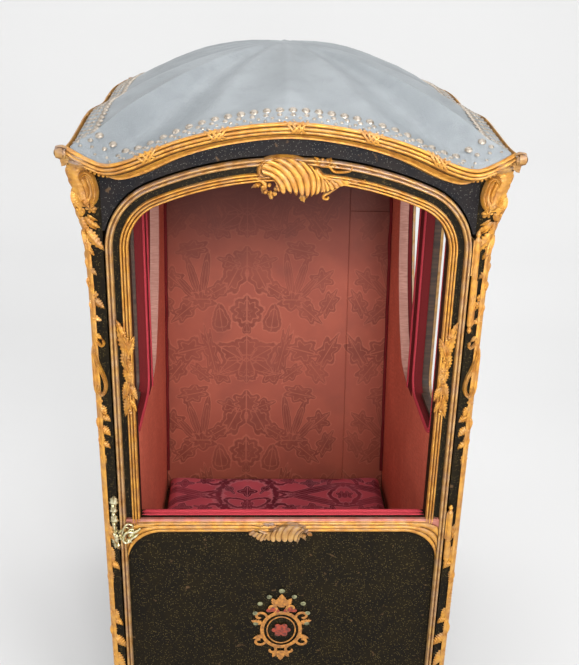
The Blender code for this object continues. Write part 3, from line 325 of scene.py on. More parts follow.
def damask(name, ground, figure, outline, cloth, axes, rows, fade):
    # silk damask: the figure is woven in the opposite satin, so it reads darker, with bright bound edges
    made, tree, shader = new_material(name, 0.6)
    width, rise, left, foot, top_band_from, top_band_to = cloth
    split = axes_of(tree, place(tree))
    across = sums(tree, "SUBTRACT", split[axes[0]], left)
    along = sums(tree, "SUBTRACT", split[axes[1]], foot)
    mask, lines = pattern(tree, across, along, width, rise, rows)
    tone = blend_colour(tree, clouds(tree, 0.11), linear(ground[0]), linear(ground[1]))
    marks = blend_colour(tree, clouds(tree, 0.03), linear(figure[0]), linear(figure[1]))
    worn = clouds(tree, 0.13, 0.30, 0.60)
    # 1 below the top band and 0 at the top: it weakens the pattern towards the top and drives the painted
    #                                        shadow of the roof
    below_top_band = ramp(tree, split[axes[1]], top_band_to, top_band_from)
    strength = times(tree, sums(tree, "MULTIPLY_ADD", worn, 0.5, 0.5),
                     sums(tree, "MULTIPLY_ADD", below_top_band, 0.7, 0.3))
    tone = blend_colour(tree, times(tree, mask, strength), tone, marks)
    tone = blend_colour(tree, times(tree, lines, times(tree, strength, 0.6)), tone, linear(outline))
    tone = blend_colour(tree, times(tree, clouds(tree, 0.07, 0.52, 0.8), 0.5), tone, linear(fade))
    # painted shadow of the roof: the cloth darkens towards its top, to #34100A
    painted_roof_shadow = times(tree, sums(tree, "SUBTRACT", 1.0, below_top_band), 0.85)
    tone = blend_colour(tree, painted_roof_shadow, tone, linear("#34100A"))
    dress(tree, shader, tone, weave(tree, 1.2 * MM), 0.0002, 0.35, Specular_IOR_Level=0.35)
    return made


# Shapes

def height_at(line, place_on):
    for (u0, v0), (u1, v1) in zip(line, line[1:]):
        if u0 <= place_on <= u1:
            return v0 + (v1 - v0) * (place_on - u0) / (u1 - u0)
    return line[0][1] if place_on < line[0][0] else line[-1][1]


def smooth_line(points, steps):
    """A curve through flat points, each stretch split in steps."""
    line = []
    last = len(points) - 1
    for i in range(last):
        p0, p1 = Vector(points[max(i - 1, 0)]), Vector(points[i])
        p2, p3 = Vector(points[i + 1]), Vector(points[min(i + 2, last)])
        for k in range(steps):
            t = k / steps
            a = 2 * p1 + (p2 - p0) * t
            b = (2 * p0 - 5 * p1 + 4 * p2 - p3) * t ** 2
            c = (3 * p1 - p0 - 3 * p2 + p3) * t ** 3
            line.append(tuple((a + b + c) / 2))
    line.append(tuple(points[last]))
    return line


def arc(centre, radius, start, end, steps):
    turns = [math.radians(start + (end - start) * i / steps) for i in range(steps + 1)]
    return [(centre[0] + radius * math.cos(t), centre[1] + radius * math.sin(t)) for t in turns]


def grid(bm, rows, closed=False, finish=0):
    """Quads between rows of points; closed rows join their ends."""
    made = [[bm.verts.new(point) for point in row] for row in rows]
    count = len(made[0])
    for low, high in zip(made, made[1:]):
        for i in range(count if closed else count - 1):
            j = (i + 1) % count
            face = bm.faces.new((low[i], low[j], high[j], high[i]))
            face.material_index = finish
    return made


def sweep(bm, path, normals, section, scales=None, closed=False):
    """Moves a section, given as across and up, along a path of places with outward normals."""
    rows = []
    count = len(path)
    for i, here in enumerate(path):
        before = path[i - 1] if closed or i else here
        after = path[(i + 1) % count] if closed or i < count - 1 else here
        way = (after - before).normalized()
        out = normals[i] if isinstance(normals, list) else normals
        across = way.cross(out).normalized()
        wide, tall = scales[i] if scales else (1.0, 1.0)
        rows.append([here + across * a * wide + out * b * tall for a, b in section])
    made = grid(bm, rows)
    if closed:
        low, high = made[-1], made[0]
        for i in range(len(low) - 1):
            bm.faces.new((low[i], low[i + 1], high[i + 1], high[i]))


def reeds(width, height, count, valley):
    """A moulding's section with a row of round reeds, and which of its faces lie in the valleys."""
    points, valleys = [(-width / 2, 0.0)], []
    steps = 5
    pitch = width / count
    for reed in range(count):
        left = -width / 2 + pitch * (reed + valley / 2)
        crest = 1.0 - 0.25 * abs((reed + 0.5) / count * 2 - 1) ** 2
        if reed:
            valleys.append(len(points) - 1)
        for k in range(steps + 1):
            t = k / steps
            swell = math.sin(math.pi * t) ** 0.6 if 0 < t < 1 else 0.0
            points.append((left + pitch * (1 - valley) * t, height * crest * (0.58 + 0.42 * swell)))
    points.append((width / 2, 0.0))
    return points, valleys


def moulding(name, path, out, shape, finishes, body, replaced, facing=None):
    """A reeded moulding on a closed path: shape is its width, height, reeds and share of valley."""
    bm = bmesh.new()
    section, valleys = reeds(*shape)
    sweep(bm, path, out, section, closed=True)
    bm.faces.ensure_lookup_table()
    # the faces in the valleys between the reeds take the second, darker gilding: painted shade
    for index, face in enumerate(bm.faces):
        if index % (len(section) - 1) in valleys:
            face.material_index = 1
    piece(name, bm, finishes, body, "gilt_wood", [replaced], facing)


def plate(bm, loops, to_place, near, far):
    """A flat sheet with holes: loops are its outline and then its holes."""
    points = [point for loop in loops for point in loop]
    sides = [[bm.verts.new(to_place(u, v, depth)) for u, v in points] for depth in (near, far)]
    for corners in geometry.tessellate_polygon([[Vector((u, v, 0.0)) for u, v in loop] for loop in loops]):
        bm.faces.new([sides[0][k] for k in corners])
        bm.faces.new([sides[1][k] for k in reversed(corners)])
    first = 0
    for loop in loops:
        for k in range(len(loop)):
            a, b = first + k, first + (k + 1) % len(loop)
            bm.faces.new((sides[0][a], sides[0][b], sides[1][b], sides[1][a]))
        first += len(loop)


def inward(loop):
    """Directions across a closed flat line, towards its inside."""
    turned = []
    middle = sum((Vector(point) for point in loop), Vector((0, 0))) / len(loop)
    for i, point in enumerate(loop):
        way = Vector(loop[(i + 1) % len(loop)]) - Vector(loop[i - 1])
        across = Vector((-way.y, way.x)).normalized()
        turned.append(across if across.dot(middle - Vector(point)) > 0 else -across)
    return turned


def rounded(box, axis, margin, radius):
    """A rounded box as a closed flat line, a margin inside a solid's box; axis is its level one."""
    (left, low), (right, high) = ((corner[axis], corner[2]) for corner in box)
    inset = margin + radius
    corners = ((right - inset, low + inset), (right - inset, high - inset),
               (left + inset, high - inset), (left + inset, low + inset))
    return [point for k, centre in enumerate(corners)
            for point in arc(centre, radius, 90.0 * (k - 1), 90.0 * k, 6)]


ROUND_SECTION = [(math.cos(math.pi * i / 8) * -1.0, math.sin(math.pi * i / 8)) for i in range(9)]
GROOVED_SECTION = [(-1.0, 0.0), (-0.86, 0.62), (-0.5, 0.98), (-0.12, 0.72), (0.12, 0.72),
                   (0.5, 0.98), (0.86, 0.62), (1.0, 0.0)]


class Ground:
    """Where carving is laid: flat places u, v and w above a face turn into places on the chair."""

    def __init__(self, origin, across, up, out):
        self.origin, self.across, self.up, self.out = (Vector(v) for v in (origin, across, up, out))

    def at(self, u, v, w=0.0):
        return self.origin + self.across * u + self.up * v + self.out * w


def scroll(bm, ground, line, width, height, taper=(0.25, 0.25), base=0.0, section=GROOVED_SECTION):
    """A raised band along a flat line that thins towards its ends."""
    path = [ground.at(u, v, base) for u, v in line]
    last = len(path) - 1
    scales = []
    for i in range(last + 1):
        t = i / last
        start = min(1.0, t / taper[0]) if taper[0] else 1.0
        end = min(1.0, (1 - t) / taper[1]) if taper[1] else 1.0
        swell = 0.3 + 0.7 * math.sin(math.pi / 2 * min(start, end))
        scales.append((width / 2 * swell, height * swell))
    sweep(bm, path, ground.out, section, scales)


def curl(centre, start_radius, end_radius, start, sweep_angle, steps=22):
    """Points of a spiral; angles in degrees."""
    points = []
    for i in range(steps + 1):
        t = i / steps
        radius = start_radius + (end_radius - start_radius) * t ** 0.8
        angle = math.radians(start + sweep_angle * t)
        points.append((centre[0] + radius * math.cos(angle), centre[1] + radius * math.sin(angle)))
    return points


def leaf(bm, ground, place_on, turn, length, width, height, lobes=5, bend=0.0, base=0.0):
    """An acanthus leaf: lobed edge, raised midrib and a tip that curls up; turn in degrees."""
    rows = []
    steps = 5 * lobes + 5
    angle = math.radians(turn)
    for i in range(steps + 1):
        t = i / steps
        half = width / 2 * max(0.0, math.sin(math.pi * min(1.0, 0.06 + 0.94 * t) ** 0.75)) ** 0.8
        half *= 1.0 + 0.17 * math.cos(math.tau * lobes * t)
        swing = angle + bend * t
        along = length * t
        centre = (place_on[0] + along * math.cos(angle + bend * t / 2),
                  place_on[1] + along * math.sin(angle + bend * t / 2))
        lift = height * (0.25 + 0.75 * math.sin(math.pi * t ** 0.7)) + height * 0.5 * t ** 4
        row = []
        for k in range(-3, 4):
            s = k / 3
            side = half * s
            crest = lift * (1 - 0.72 * abs(s) ** 1.3) + (height * 0.22 if k == 0 else 0.0)
            crest -= height * 0.14 if abs(k) == 1 else 0.0
            u = centre[0] - math.sin(swing) * side
            v = centre[1] + math.cos(swing) * side
            row.append(ground.at(u, v, base + (crest if abs(k) < 3 else 0.0)))
        rows.append(row)
    grid(bm, rows)


def flower(bm, ground, place_on, radius, height, petals=5, base=0.0):
    """A rosette with cupped petals round a boss."""
    rows = []
    for ring in range(7):
        r = ring / 6
        row = []
        for k in range(petals * 6):
            angle = math.tau * k / (petals * 6)
            wave = abs(math.cos(petals * angle / 2))
            reach = radius * (r if r < 0.4 else r * (0.72 + 0.28 * wave))
            boss = 0.85 * math.exp(-(r / 0.22) ** 2)
            cup = 0.62 * math.sin(math.pi * min(r, 0.96)) ** 0.6 * (0.55 + 0.45 * wave) if r else 0.0
            lift = height * (boss + cup) if ring < 6 else 0.0
            row.append(ground.at(place_on[0] + reach * math.cos(angle),
                                 place_on[1] + reach * math.sin(angle), base + lift))
        rows.append(row)
    rows[0] = [ground.at(place_on[0] + 0.001 * radius * math.cos(math.tau * k / len(rows[0])),
                         place_on[1] + 0.001 * radius * math.sin(math.tau * k / len(rows[0])),
                         base + height) for k in range(len(rows[0]))]
    grid(bm, rows, closed=True)


def bud(bm, ground, place_on, radius, height, base=0.0):
    """A small round berry or bead."""
    rows = []
    for ring in range(5):
        lift = math.sin(math.pi / 2 * ring / 4)
        reach = radius * math.cos(math.pi / 2 * ring / 4) + radius * 0.01
        rows.append([ground.at(place_on[0] + reach * math.cos(math.tau * k / 8),
                               place_on[1] + reach * math.sin(math.tau * k / 8), base + height * lift)
                     for k in range(8)])
    grid(bm, rows, closed=True)


def along(line, share):
    """The place at a share of a line's points."""
    spot = share * (len(line) - 1)
    first = min(int(spot), len(line) - 2)
    return Vector(line[first]).lerp(Vector(line[first + 1]), spot - first)


def shell(bm, ground, rim, tips, height, flutes, bow, base):
    """A carved shell whose ribs leave a rim and bend down to scalloped tips."""
    rims, ends = smooth_line(rim, 4), smooth_line(tips, 4)
    notch = 0.16
    rows = []
    last = 14
    for ring in range(last + 1):
        r = ring / last
        row = []
        for k in range(flutes * 8 + 1):
            t = k / (flutes * 8)
            wave = abs(math.sin(math.pi * flutes * t))
            reach = r * (1.0 - notch * (1.0 - wave ** 0.6) * max(0.0, r - 0.7) / 0.3)
            near, far = along(rims, t), along(ends, t)
            way = far - near
            spot = near + way * reach + Vector((-way.y, way.x)) * bow * 4 * reach * (1 - reach)
            lift = height * (1.0 - 0.35 * r) * (0.45 + 0.55 * wave ** 0.5)
            if ring == last or k in (0, flutes * 8):
                lift = -base
            row.append(ground.at(spot.x, spot.y, base + lift))
        rows.append(row)
    grid(bm, rows)


class PostGround:
    """The outer faces of a corner post: u runs in from its edge, or back along its side below 0."""

    # height, place of the outer edge, how far the console stands forward
    profile = (
        (0.0, 0.3796, 0.0), (0.017, 0.3834, 0.0), (0.044, 0.3735, 0.0), (0.41, 0.3769, 0.0),
        (1.22, 0.3811, 0.0),
        (1.30, 0.3834, 0.0), (1.345, 0.3887, 0.0), (1.3635, 0.3940, 0.0), (1.393, 0.3978, 0.0096),
        (1.412, 0.3994, 0.0080), (1.434, 0.4039, 0.0106), (1.464, 0.4081, 0.0160),
    )

    def __init__(self, side, end, out_share=0.0):
        self.side, self.end = side, end
        self.edge = [(z, x) for z, x, _ in self.profile]
        self.swell = [(z, y) for z, _, y in self.profile]
        self.out = Vector((side * out_share, end * (1.0 - out_share), 0.0)).normalized()
        self.face = -FACE

    def at(self, u, v, w=0.0):
        edge, face = height_at(self.edge, v), self.face + height_at(self.swell, v)
        x = edge - max(u, 0.0) + self.out.x * self.side * w
        y = face + min(u, 0.0) + self.out.y * self.end * w
        return Vector((self.side * x, self.end * y, v))


def leaves(bm, ground, table, height, lobes, bend=0.0, base=0.0):
    """Leaves from a table of across, up, turn, length and width."""
    for u, v, turn, length, width in table:
        leaf(bm, ground, (u, v), turn, length, width, height, lobes, bend, base)


def buds(bm, ground, table, share, base):
    """Berries from a table of across, up and radius; share is their height over their radius."""
    for u, v, radius in table:
        bud(bm, ground, (u, v), radius, radius * share, base)


def piece(name, bm, finishes, body, slot, replaced=(), out=None):
    """Turns a mesh into a shown piece that moves with a body; out turns all its faces one way."""
    if out is not None:
        bm.normal_update()
        wrong = [face for face in bm.faces if face.normal.dot(out) < 0]
        bmesh.ops.reverse_faces(bm, faces=wrong)
    else:
        bmesh.ops.recalc_face_normals(bm, faces=bm.faces)
    mesh = bpy.data.meshes.new(name)
    bm.to_mesh(mesh)
    bm.free()
    for finish in finishes:
        mesh.materials.append(finish)
    mesh.shade_smooth()
    mesh.set_sharp_from_angle(angle=math.radians(50.0))
    made = bpy.data.objects.new(name, mesh)
    bpy.context.scene.collection.objects.link(made)
    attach(made, body)
    if replaced:
        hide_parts(*replaced)
    return made


# What a user of the add-on may set

class ChairFinish(bpy.types.PropertyGroup):
    spring: bpy.props.FloatProperty(
        name="Arch springing", description="Height where the door's arch begins", default=1.3,
        unit="LENGTH")
    corner: bpy.props.FloatProperty(
        name="Arch corner", description="Radius of the door arch's corners", default=0.135, unit="LENGTH")
    outer_width: bpy.props.FloatProperty(
        name="Outer moulding", description="Width of the door's outer moulding", default=0.014,
        unit="LENGTH")
    strip_width: bpy.props.FloatProperty(
        name="Lacquer strip", description="Width of the lacquer between the door's mouldings",
        default=0.0125, unit="LENGTH")
    inner_width: bpy.props.FloatProperty(
        name="Inner moulding", description="Width of the moulding round the door's window",
        default=0.017, unit="LENGTH")
    nail_pitch: bpy.props.FloatProperty(
        name="Nail spacing", description="Distance between the large roof nails", default=0.0235,
        unit="LENGTH")
    gold: bpy.props.FloatVectorProperty(
        name="Gold", description="Brightest tone of the gilding", subtype="COLOR",
        default=linear("#CE953A"))
    ground: bpy.props.FloatVectorProperty(
        name="Lacquer", description="Ground tone of the lacquer", subtype="COLOR",
        default=linear("#14100A"))


def finish_of(context):
    return context.scene.chair_finish


# Lines of the chair that several pieces follow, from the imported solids

LOW, HIGH = (Vector(corner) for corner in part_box("door_frame"))
DOOR_HALF, DOOR_TOP, DOOR_FOOT, FACE = HIGH.x, HIGH.z, LOW.z, LOW.y
CORNICE_LOW, CORNICE_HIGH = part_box("cornice_front")
RAIL_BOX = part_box("door_rail_moulding")
RAIL_LOW, SILL_TOP, FIELD_HALF = RAIL_BOX[0][2], RAIL_BOX[1][2], RAIL_BOX[1][0]
FRONT_GROUND = Ground((0, FACE, 0), (1, 0, 0), (0, 0, 1), (0, -1, 0))
OUT = Vector((0, -1, 0))
SIDES, ENDS = ((-1, "left"), (1, "right")), ((-1, "front"), (1, "rear"))
# from the front face back to the door's stop, where the silk of the walls begins
STOP_DEPTH = 0.0345

# height of the roof's edge over the door: share of the half width, share of the rise
FRONT_LINE_SHARES = (
    (0.0, 1.0), (0.28, 0.86), (0.52, 0.555), (0.72, 0.135), (0.83, 0.0), (0.91, 0.13), (1.0, 0.39),
)
# height of the roof's edge over the side windows: share of the half depth, share of the rise
SIDE_LINE_SHARES = (
    (-1.0, 0.0), (-0.88, 0.1), (-0.57, 0.86), (-0.43, 0.94), (-0.12, 0.58), (0.08, 0.92),
    (0.3, 1.0), (0.75, 0.54), (0.9, 0.1), (1.0, 0.0),
)
SIDE_CORNICE_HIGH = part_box("cornice_right")[1]
EDGE_HALF_X, EDGE_HALF_Y = SIDE_CORNICE_HIGH[0], -CORNICE_LOW[1]
# the cornice's section is 33 mm deep; the rest of its front box is the rise of its line
CORNICE_DEEP = 0.033
FRONT_RISE = CORNICE_HIGH[2] - CORNICE_LOW[2] - CORNICE_DEEP
FRONT_DIP = CORNICE_HIGH[2] - FRONT_RISE
SIDE_RISE = 0.024
SIDE_LOW = SIDE_CORNICE_HIGH[2] - SIDE_RISE
RIGHT_LINE = [(u * EDGE_HALF_X, FRONT_DIP + v * FRONT_RISE) for u, v in FRONT_LINE_SHARES]
FRONT_LINE = smooth_line([(-u, v) for u, v in reversed(RIGHT_LINE[1:])] + RIGHT_LINE, 6)
SIDE_LINE = smooth_line([(u * EDGE_HALF_Y, SIDE_LOW + v * SIDE_RISE) for u, v in SIDE_LINE_SHARES], 6)


def arch(settings, inset):
    """The door's three-centred arch, moved in by inset, from right to left."""
    half = DOOR_HALF - inset
    rise = DOOR_TOP - inset - settings.spring
    corner = settings.corner - inset
    run = half - corner
    crown = (run ** 2 + rise ** 2 - corner ** 2) / (2 * (rise - corner))
    centre = settings.spring + rise - crown
    meet = math.degrees(math.atan2(settings.spring - centre, run))
    right = arc((run, settings.spring), corner, 0.0, meet, 16)
    middle = arc((0.0, centre), crown, meet, 180.0 - meet, 40)
    left = arc((-run, settings.spring), corner, 180.0 - meet, 180.0, 16)
    return right + middle[1:-1] + left


# Cabin and windows, from the solids

BACK_LOW, BACK_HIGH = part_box("back_pad")
WALL_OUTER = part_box("side_wall_right")[1][0]
SILK_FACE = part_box("lining_right")[0][0]
# from the outer edge of a window's moulding in to the opening, and the opening's corners
MARGIN, WINDOW_CORNER = 0.016, 0.040
WINDOW_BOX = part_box("window_moulding_front_right")
FRONT_WINDOW = rounded(WINDOW_BOX, 1, MARGIN, WINDOW_CORNER)
QUARTER_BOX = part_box("window_moulding_quarter_right")
QUARTER_WINDOW_FRONT = QUARTER_BOX[0][1] + MARGIN
# rear edge of the quarter window: share of its length, share of its height
QUARTER_SHARES = ((0.0, 0.0), (0.34, 0.034), (0.5, 0.117), (0.6, 0.177), (0.81, 0.372), (0.94, 0.585),
                  (0.99, 0.747), (1.0, 0.93))


def quarter_window():
    rear, top = QUARTER_BOX[1][1] - MARGIN, WINDOW_BOX[1][2] - MARGIN
    low, corner = 0.846, WINDOW_CORNER
    edge = smooth_line([(QUARTER_WINDOW_FRONT + u * (rear - QUARTER_WINDOW_FRONT), low + v * (top - low))
                        for u, v in QUARTER_SHARES], 3)
    return (edge + arc((rear - corner, top - corner), corner, 0.0, 90.0, 5)[1:]
            + arc((QUARTER_WINDOW_FRONT + corner, top - corner), corner, 90.0, 180.0, 5))


QUARTER_WINDOW = quarter_window()


def back_face(z):
    """Where the raked back stands at a height."""
    thick = 0.022
    share = (z - BACK_LOW[2]) / (BACK_HIGH[2] - BACK_LOW[2])
    return BACK_LOW[1] + (BACK_HIGH[1] - thick - BACK_LOW[1]) * share


# Finishes shared by several pieces

FINISHES = {}


def finishes():
    if not FINISHES:
        settings = finish_of(bpy.context)
        FINISHES.update(
            lacquer=lacquer("aventurine lacquer, polished", tuple(settings.ground), "#1C160A", "#8A7748"),
            frieze=lacquer("aventurine lacquer, weathered", linear("#16161A"), "#231F1E", "#7E7C74"),
            gilt=gilding("water gilding, burnished", tuple(settings.gold), "#A86E28", "#A48664", 0.6),
            gilt_worn=gilding("water gilding, rubbed", linear("#BC9254"), "#9A6C38", "#A08878", 1.0),
            # a darker copy of the gilding for the valleys between reeds and the faces under the cornice's
            # reeds: painted shade
            hollow=gilding("water gilding, painted shade in hollows", linear("#9A6A2E"), "#6E461C", "#7A6048", 0.2),
            salmon=gilding("gesso and clay, gilding rubbed off", linear("#B87060"), "#A05A4A", "#94867C",
                           0.45),
            ochre=oil_paint("oil paint, ochre", "#B87A2C", "#80501C"),
            red=oil_paint("oil paint, vermilion", "#A03818", "#541E14"),
            grey_green=oil_paint("oil paint, grey green", "#86845E", "#4E4E36"),
            # a darker copy of the lacquer with dimmer flecks, for the stop seen in the gap over the door:
            # painted shade
            groove=lacquer("aventurine lacquer, darkened as painted shade", linear("#100E08"), "#1A150E", "#55503A"),
            leather=roof_leather(),
            nail=metal("brass nail heads, tarnished", "#C2B8AC", "#948A7E", 0.5, 0.004, 0.05),
            brass=metal("cast brass, handled", "#ECE6C4", "#B0A67C", 0.28),
            iron=metal("wrought iron, blackened", "#3A3632", "#1E1B18", 0.5),
            braid=braid("silk gimp braid, crimson", "#CC4650", "#8C242E"),
            # the crimson of the braid darkened for the reveals, the pillar ribbon and the back's cords:
            # painted shade
            gimp=braid("silk gimp, crimson in painted shade", "#741619", "#460C0F"),
            reveal=plain_silk("plain silk, faded pink", "#B48476", "#94665A"),
            orange=plain_silk("ribbed silk, brick", "#D87058", "#B45440"),
            back=damask("silk damask, rose", ("#964A36", "#8A4130"), ("#743323", "#7E3B2A"), "#AA5E48",
                        (0.54, 0.405, -0.085, 0.895, 0.98, 1.26), (0, 2), FLOWER_TABLE, "#763A2C"),
            seat=damask("silk damask, magenta", ("#B04A56", "#C05660"), ("#5E1828", "#702434"), "#CC8088",
                        (0.54, 0.26, -0.080, 0.060, 1.0, 2.0), (0, 1), STRAP_TABLE, "#80505A"),
            wood=bare_wood("walnut, planed and aged", "#6A4428", "#3A2414"),
            sash=bare_wood("beech sash, stained", "#4A3222", "#2A1A10"),
        )
    return FINISHES


class ChairOperator:
    bl_options = {"REGISTER", "UNDO"}


class CHAIR_OT_body(ChairOperator, bpy.types.Operator):
    """Lacquers the flat wooden walls, posts, base and door"""
    bl_idname = "chair.body"
    bl_label = "Body lacquer"

    def execute(self, context):
        done = finishes()
        for finish, starts in (
            ("lacquer", ("side_wall", "window_frame", "rear_wall", "base_frame", "door_frame",
                         "door_panel", "post_")),
            ("frieze", ("frieze",)), ("wood", ("floor", "seat_board", "seat_riser")),
            ("gilt", ("window_moulding", "side_moulding", "rear_moulding", "hinge")),
            ("sash", ("sash",)), ("iron", ("pole_bracket", "roof_hinge")),
        ):
            for name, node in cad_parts.items():
                if name.startswith(starts):
                    node.data.materials.clear()
                    node.data.materials.append(done[finish])
        return {"FINISHED"}


class CHAIR_OT_roof(ChairOperator, bpy.types.Operator):
    """Stretches the ribbed leather roof and drives its rows of nails"""
    bl_idname = "chair.roof"
    bl_label = "Leather roof"

    # ribs: share of the way along a side, share of the full rib height
    rib_shares = ((-1.0, 1.0), (-0.46, 0.55), (0.0, 0.75), (0.46, 0.55), (1.0, 1.0))
    # rings from the foot of the dome to its top: share of the way in
    ring_shares = (0.0, 0.02, 0.045, 0.08, 0.12, 0.17, 0.23, 0.30, 0.38, 0.47, 0.57, 0.68, 0.79, 0.90)
    side_steps = 40
    dome_power = 1.9
    # the band round the dome: its width, its height over the roof's edge, and its rise to the dome
    band, band_low, band_rise = 0.036, 0.004, 0.0145

    def skin_height(self, share_along, ring, foot, top):
        """The dome's height: it sags between the ribs and swells over them."""
        climb = 1.0 - (1.0 - ring) ** self.dome_power
        level = foot * (1.0 - climb) + top * climb
        strong = min(1.0, ring / 0.12) * (1.0 - ring) ** 0.7
        for (a, _), (b, _) in zip(self.rib_shares, self.rib_shares[1:]):
            if a <= share_along <= b:
                t = (share_along - a) / (b - a)
                level -= 0.0125 * strong * math.sin(math.pi * t) ** 1.3
        for rib, share in self.rib_shares:
            wide = 0.045 / max(0.2, 1.0 - ring)
            level += 0.0045 * share * strong * math.exp(-((share_along - rib) / wide) ** 2)
        return level

    def ring_points(self, half_x, half_y, level):
        """One ring of the roof, from the front left corner round."""
        shares = [-1.0 + 2.0 * i / self.side_steps for i in range(self.side_steps)]
        return ([Vector((s * half_x, -half_y, level("front", s))) for s in shares]
                + [Vector((half_x, s * half_y, level("side", s))) for s in shares]
                + [Vector((-s * half_x, half_y, level("front", s))) for s in shares]
                + [Vector((-half_x, -s * half_y, level("side", -s))) for s in shares])

    def execute(self, context):
        settings, done = finish_of(context), finishes()
        edge_x, edge_y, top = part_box("roof_shell")[1]
        foot_x, foot_y = edge_x - self.band, edge_y - self.band

        def edge(kind, s):
            """The height of the roof's edge, levelled towards its corners."""
            line = height_at(FRONT_LINE, s * edge_x) if kind == "front" else height_at(SIDE_LINE, s * edge_y)
            near = max(0.0, (abs(s) - 0.86) / 0.14)
            return line * (1 - near) + SIDE_LOW * near - 0.003

        def dome(kind, s, ring):
            return self.skin_height(s, ring, edge(kind, s) + self.band_low + self.band_rise, top - 0.001)

        rings = [self.ring_points(edge_x, edge_y, lambda k, s: edge(k, s) - 0.010),
                 self.ring_points(edge_x, edge_y, lambda k, s: edge(k, s) + 0.001)]
        for step in (0.3, 0.65):
            rings.append(self.ring_points(
                edge_x - self.band * step, edge_y - self.band * step,
                lambda k, s, step=step: edge(k, s) + self.band_low + self.band_rise * step))
        for ring in self.ring_shares:
            draw = 1.0 - ring
            rings.append(self.ring_points(foot_x * draw, foot_y * draw, lambda k, s, r=ring: dome(k, s, r)))
        bm = bmesh.new()
        made = grid(bm, rings, closed=True)
        bm.faces.new(made[-1])
        # the lining under the dome follows it, drawn in and lower
        drawn_in, lower = 0.965, 0.012
        ceiling = [[Vector((p.x * drawn_in, p.y * drawn_in, p.z - lower)) for p in ring]
                   for ring in rings[4:]]
        inner = grid(bm, ceiling, closed=True, finish=1)
        bm.faces.new(reversed(inner[-1])).material_index = 1
        for vert in bm.verts:
            vert.co.z += 1.0 * MM * noise.noise(vert.co * 22.0)
        piece("roof_leather", bm, [done["leather"], done["orange"]], "roof", "roof_leather", ["roof_shell"])

        nails = bmesh.new()
        # rows: distance in from the roof's edge, spacing share, head radius
        for inset, shift, radius in ((self.band - 0.001, 0.5, 0.0084), (0.0205, 0.5, 0.0054),
                                     (0.0115, 0.0, 0.0040), (0.0045, 0.5, 0.0032)):
            half_x, half_y = edge_x - inset, edge_y - inset
            count_x, count_y = (round(2 * foot / settings.nail_pitch) for foot in (foot_x, foot_y))
            for turn in (-1, 1):
                spots = [("front", -1.0 + 2.0 * (i + shift) / count_x) for i in range(count_x)]
                spots += [("side", -1.0 + 2.0 * (i + shift) / count_y) for i in range(count_y)]
                for kind, s in spots:
                    where = (s * half_x, turn * half_y) if kind == "front" else (turn * half_x, s * half_y)
                    level = edge(kind, s) + self.band_low + self.band_rise * min(1.0, inset / self.band)
                    tilt = Vector((0, turn, 2.2)) if kind == "front" else Vector((turn, 0, 2.2))
                    out = tilt.normalized()
                    across = out.orthogonal().normalized()
                    ground = Ground((where[0], where[1], level - 0.0008), across, out.cross(across), out)
                    bud(nails, ground, (0.0, 0.0), radius, radius * 0.6)
        piece("roof_nails", nails, [done["nail"]], "roof", "latch_brass")
        return {"FINISHED"}


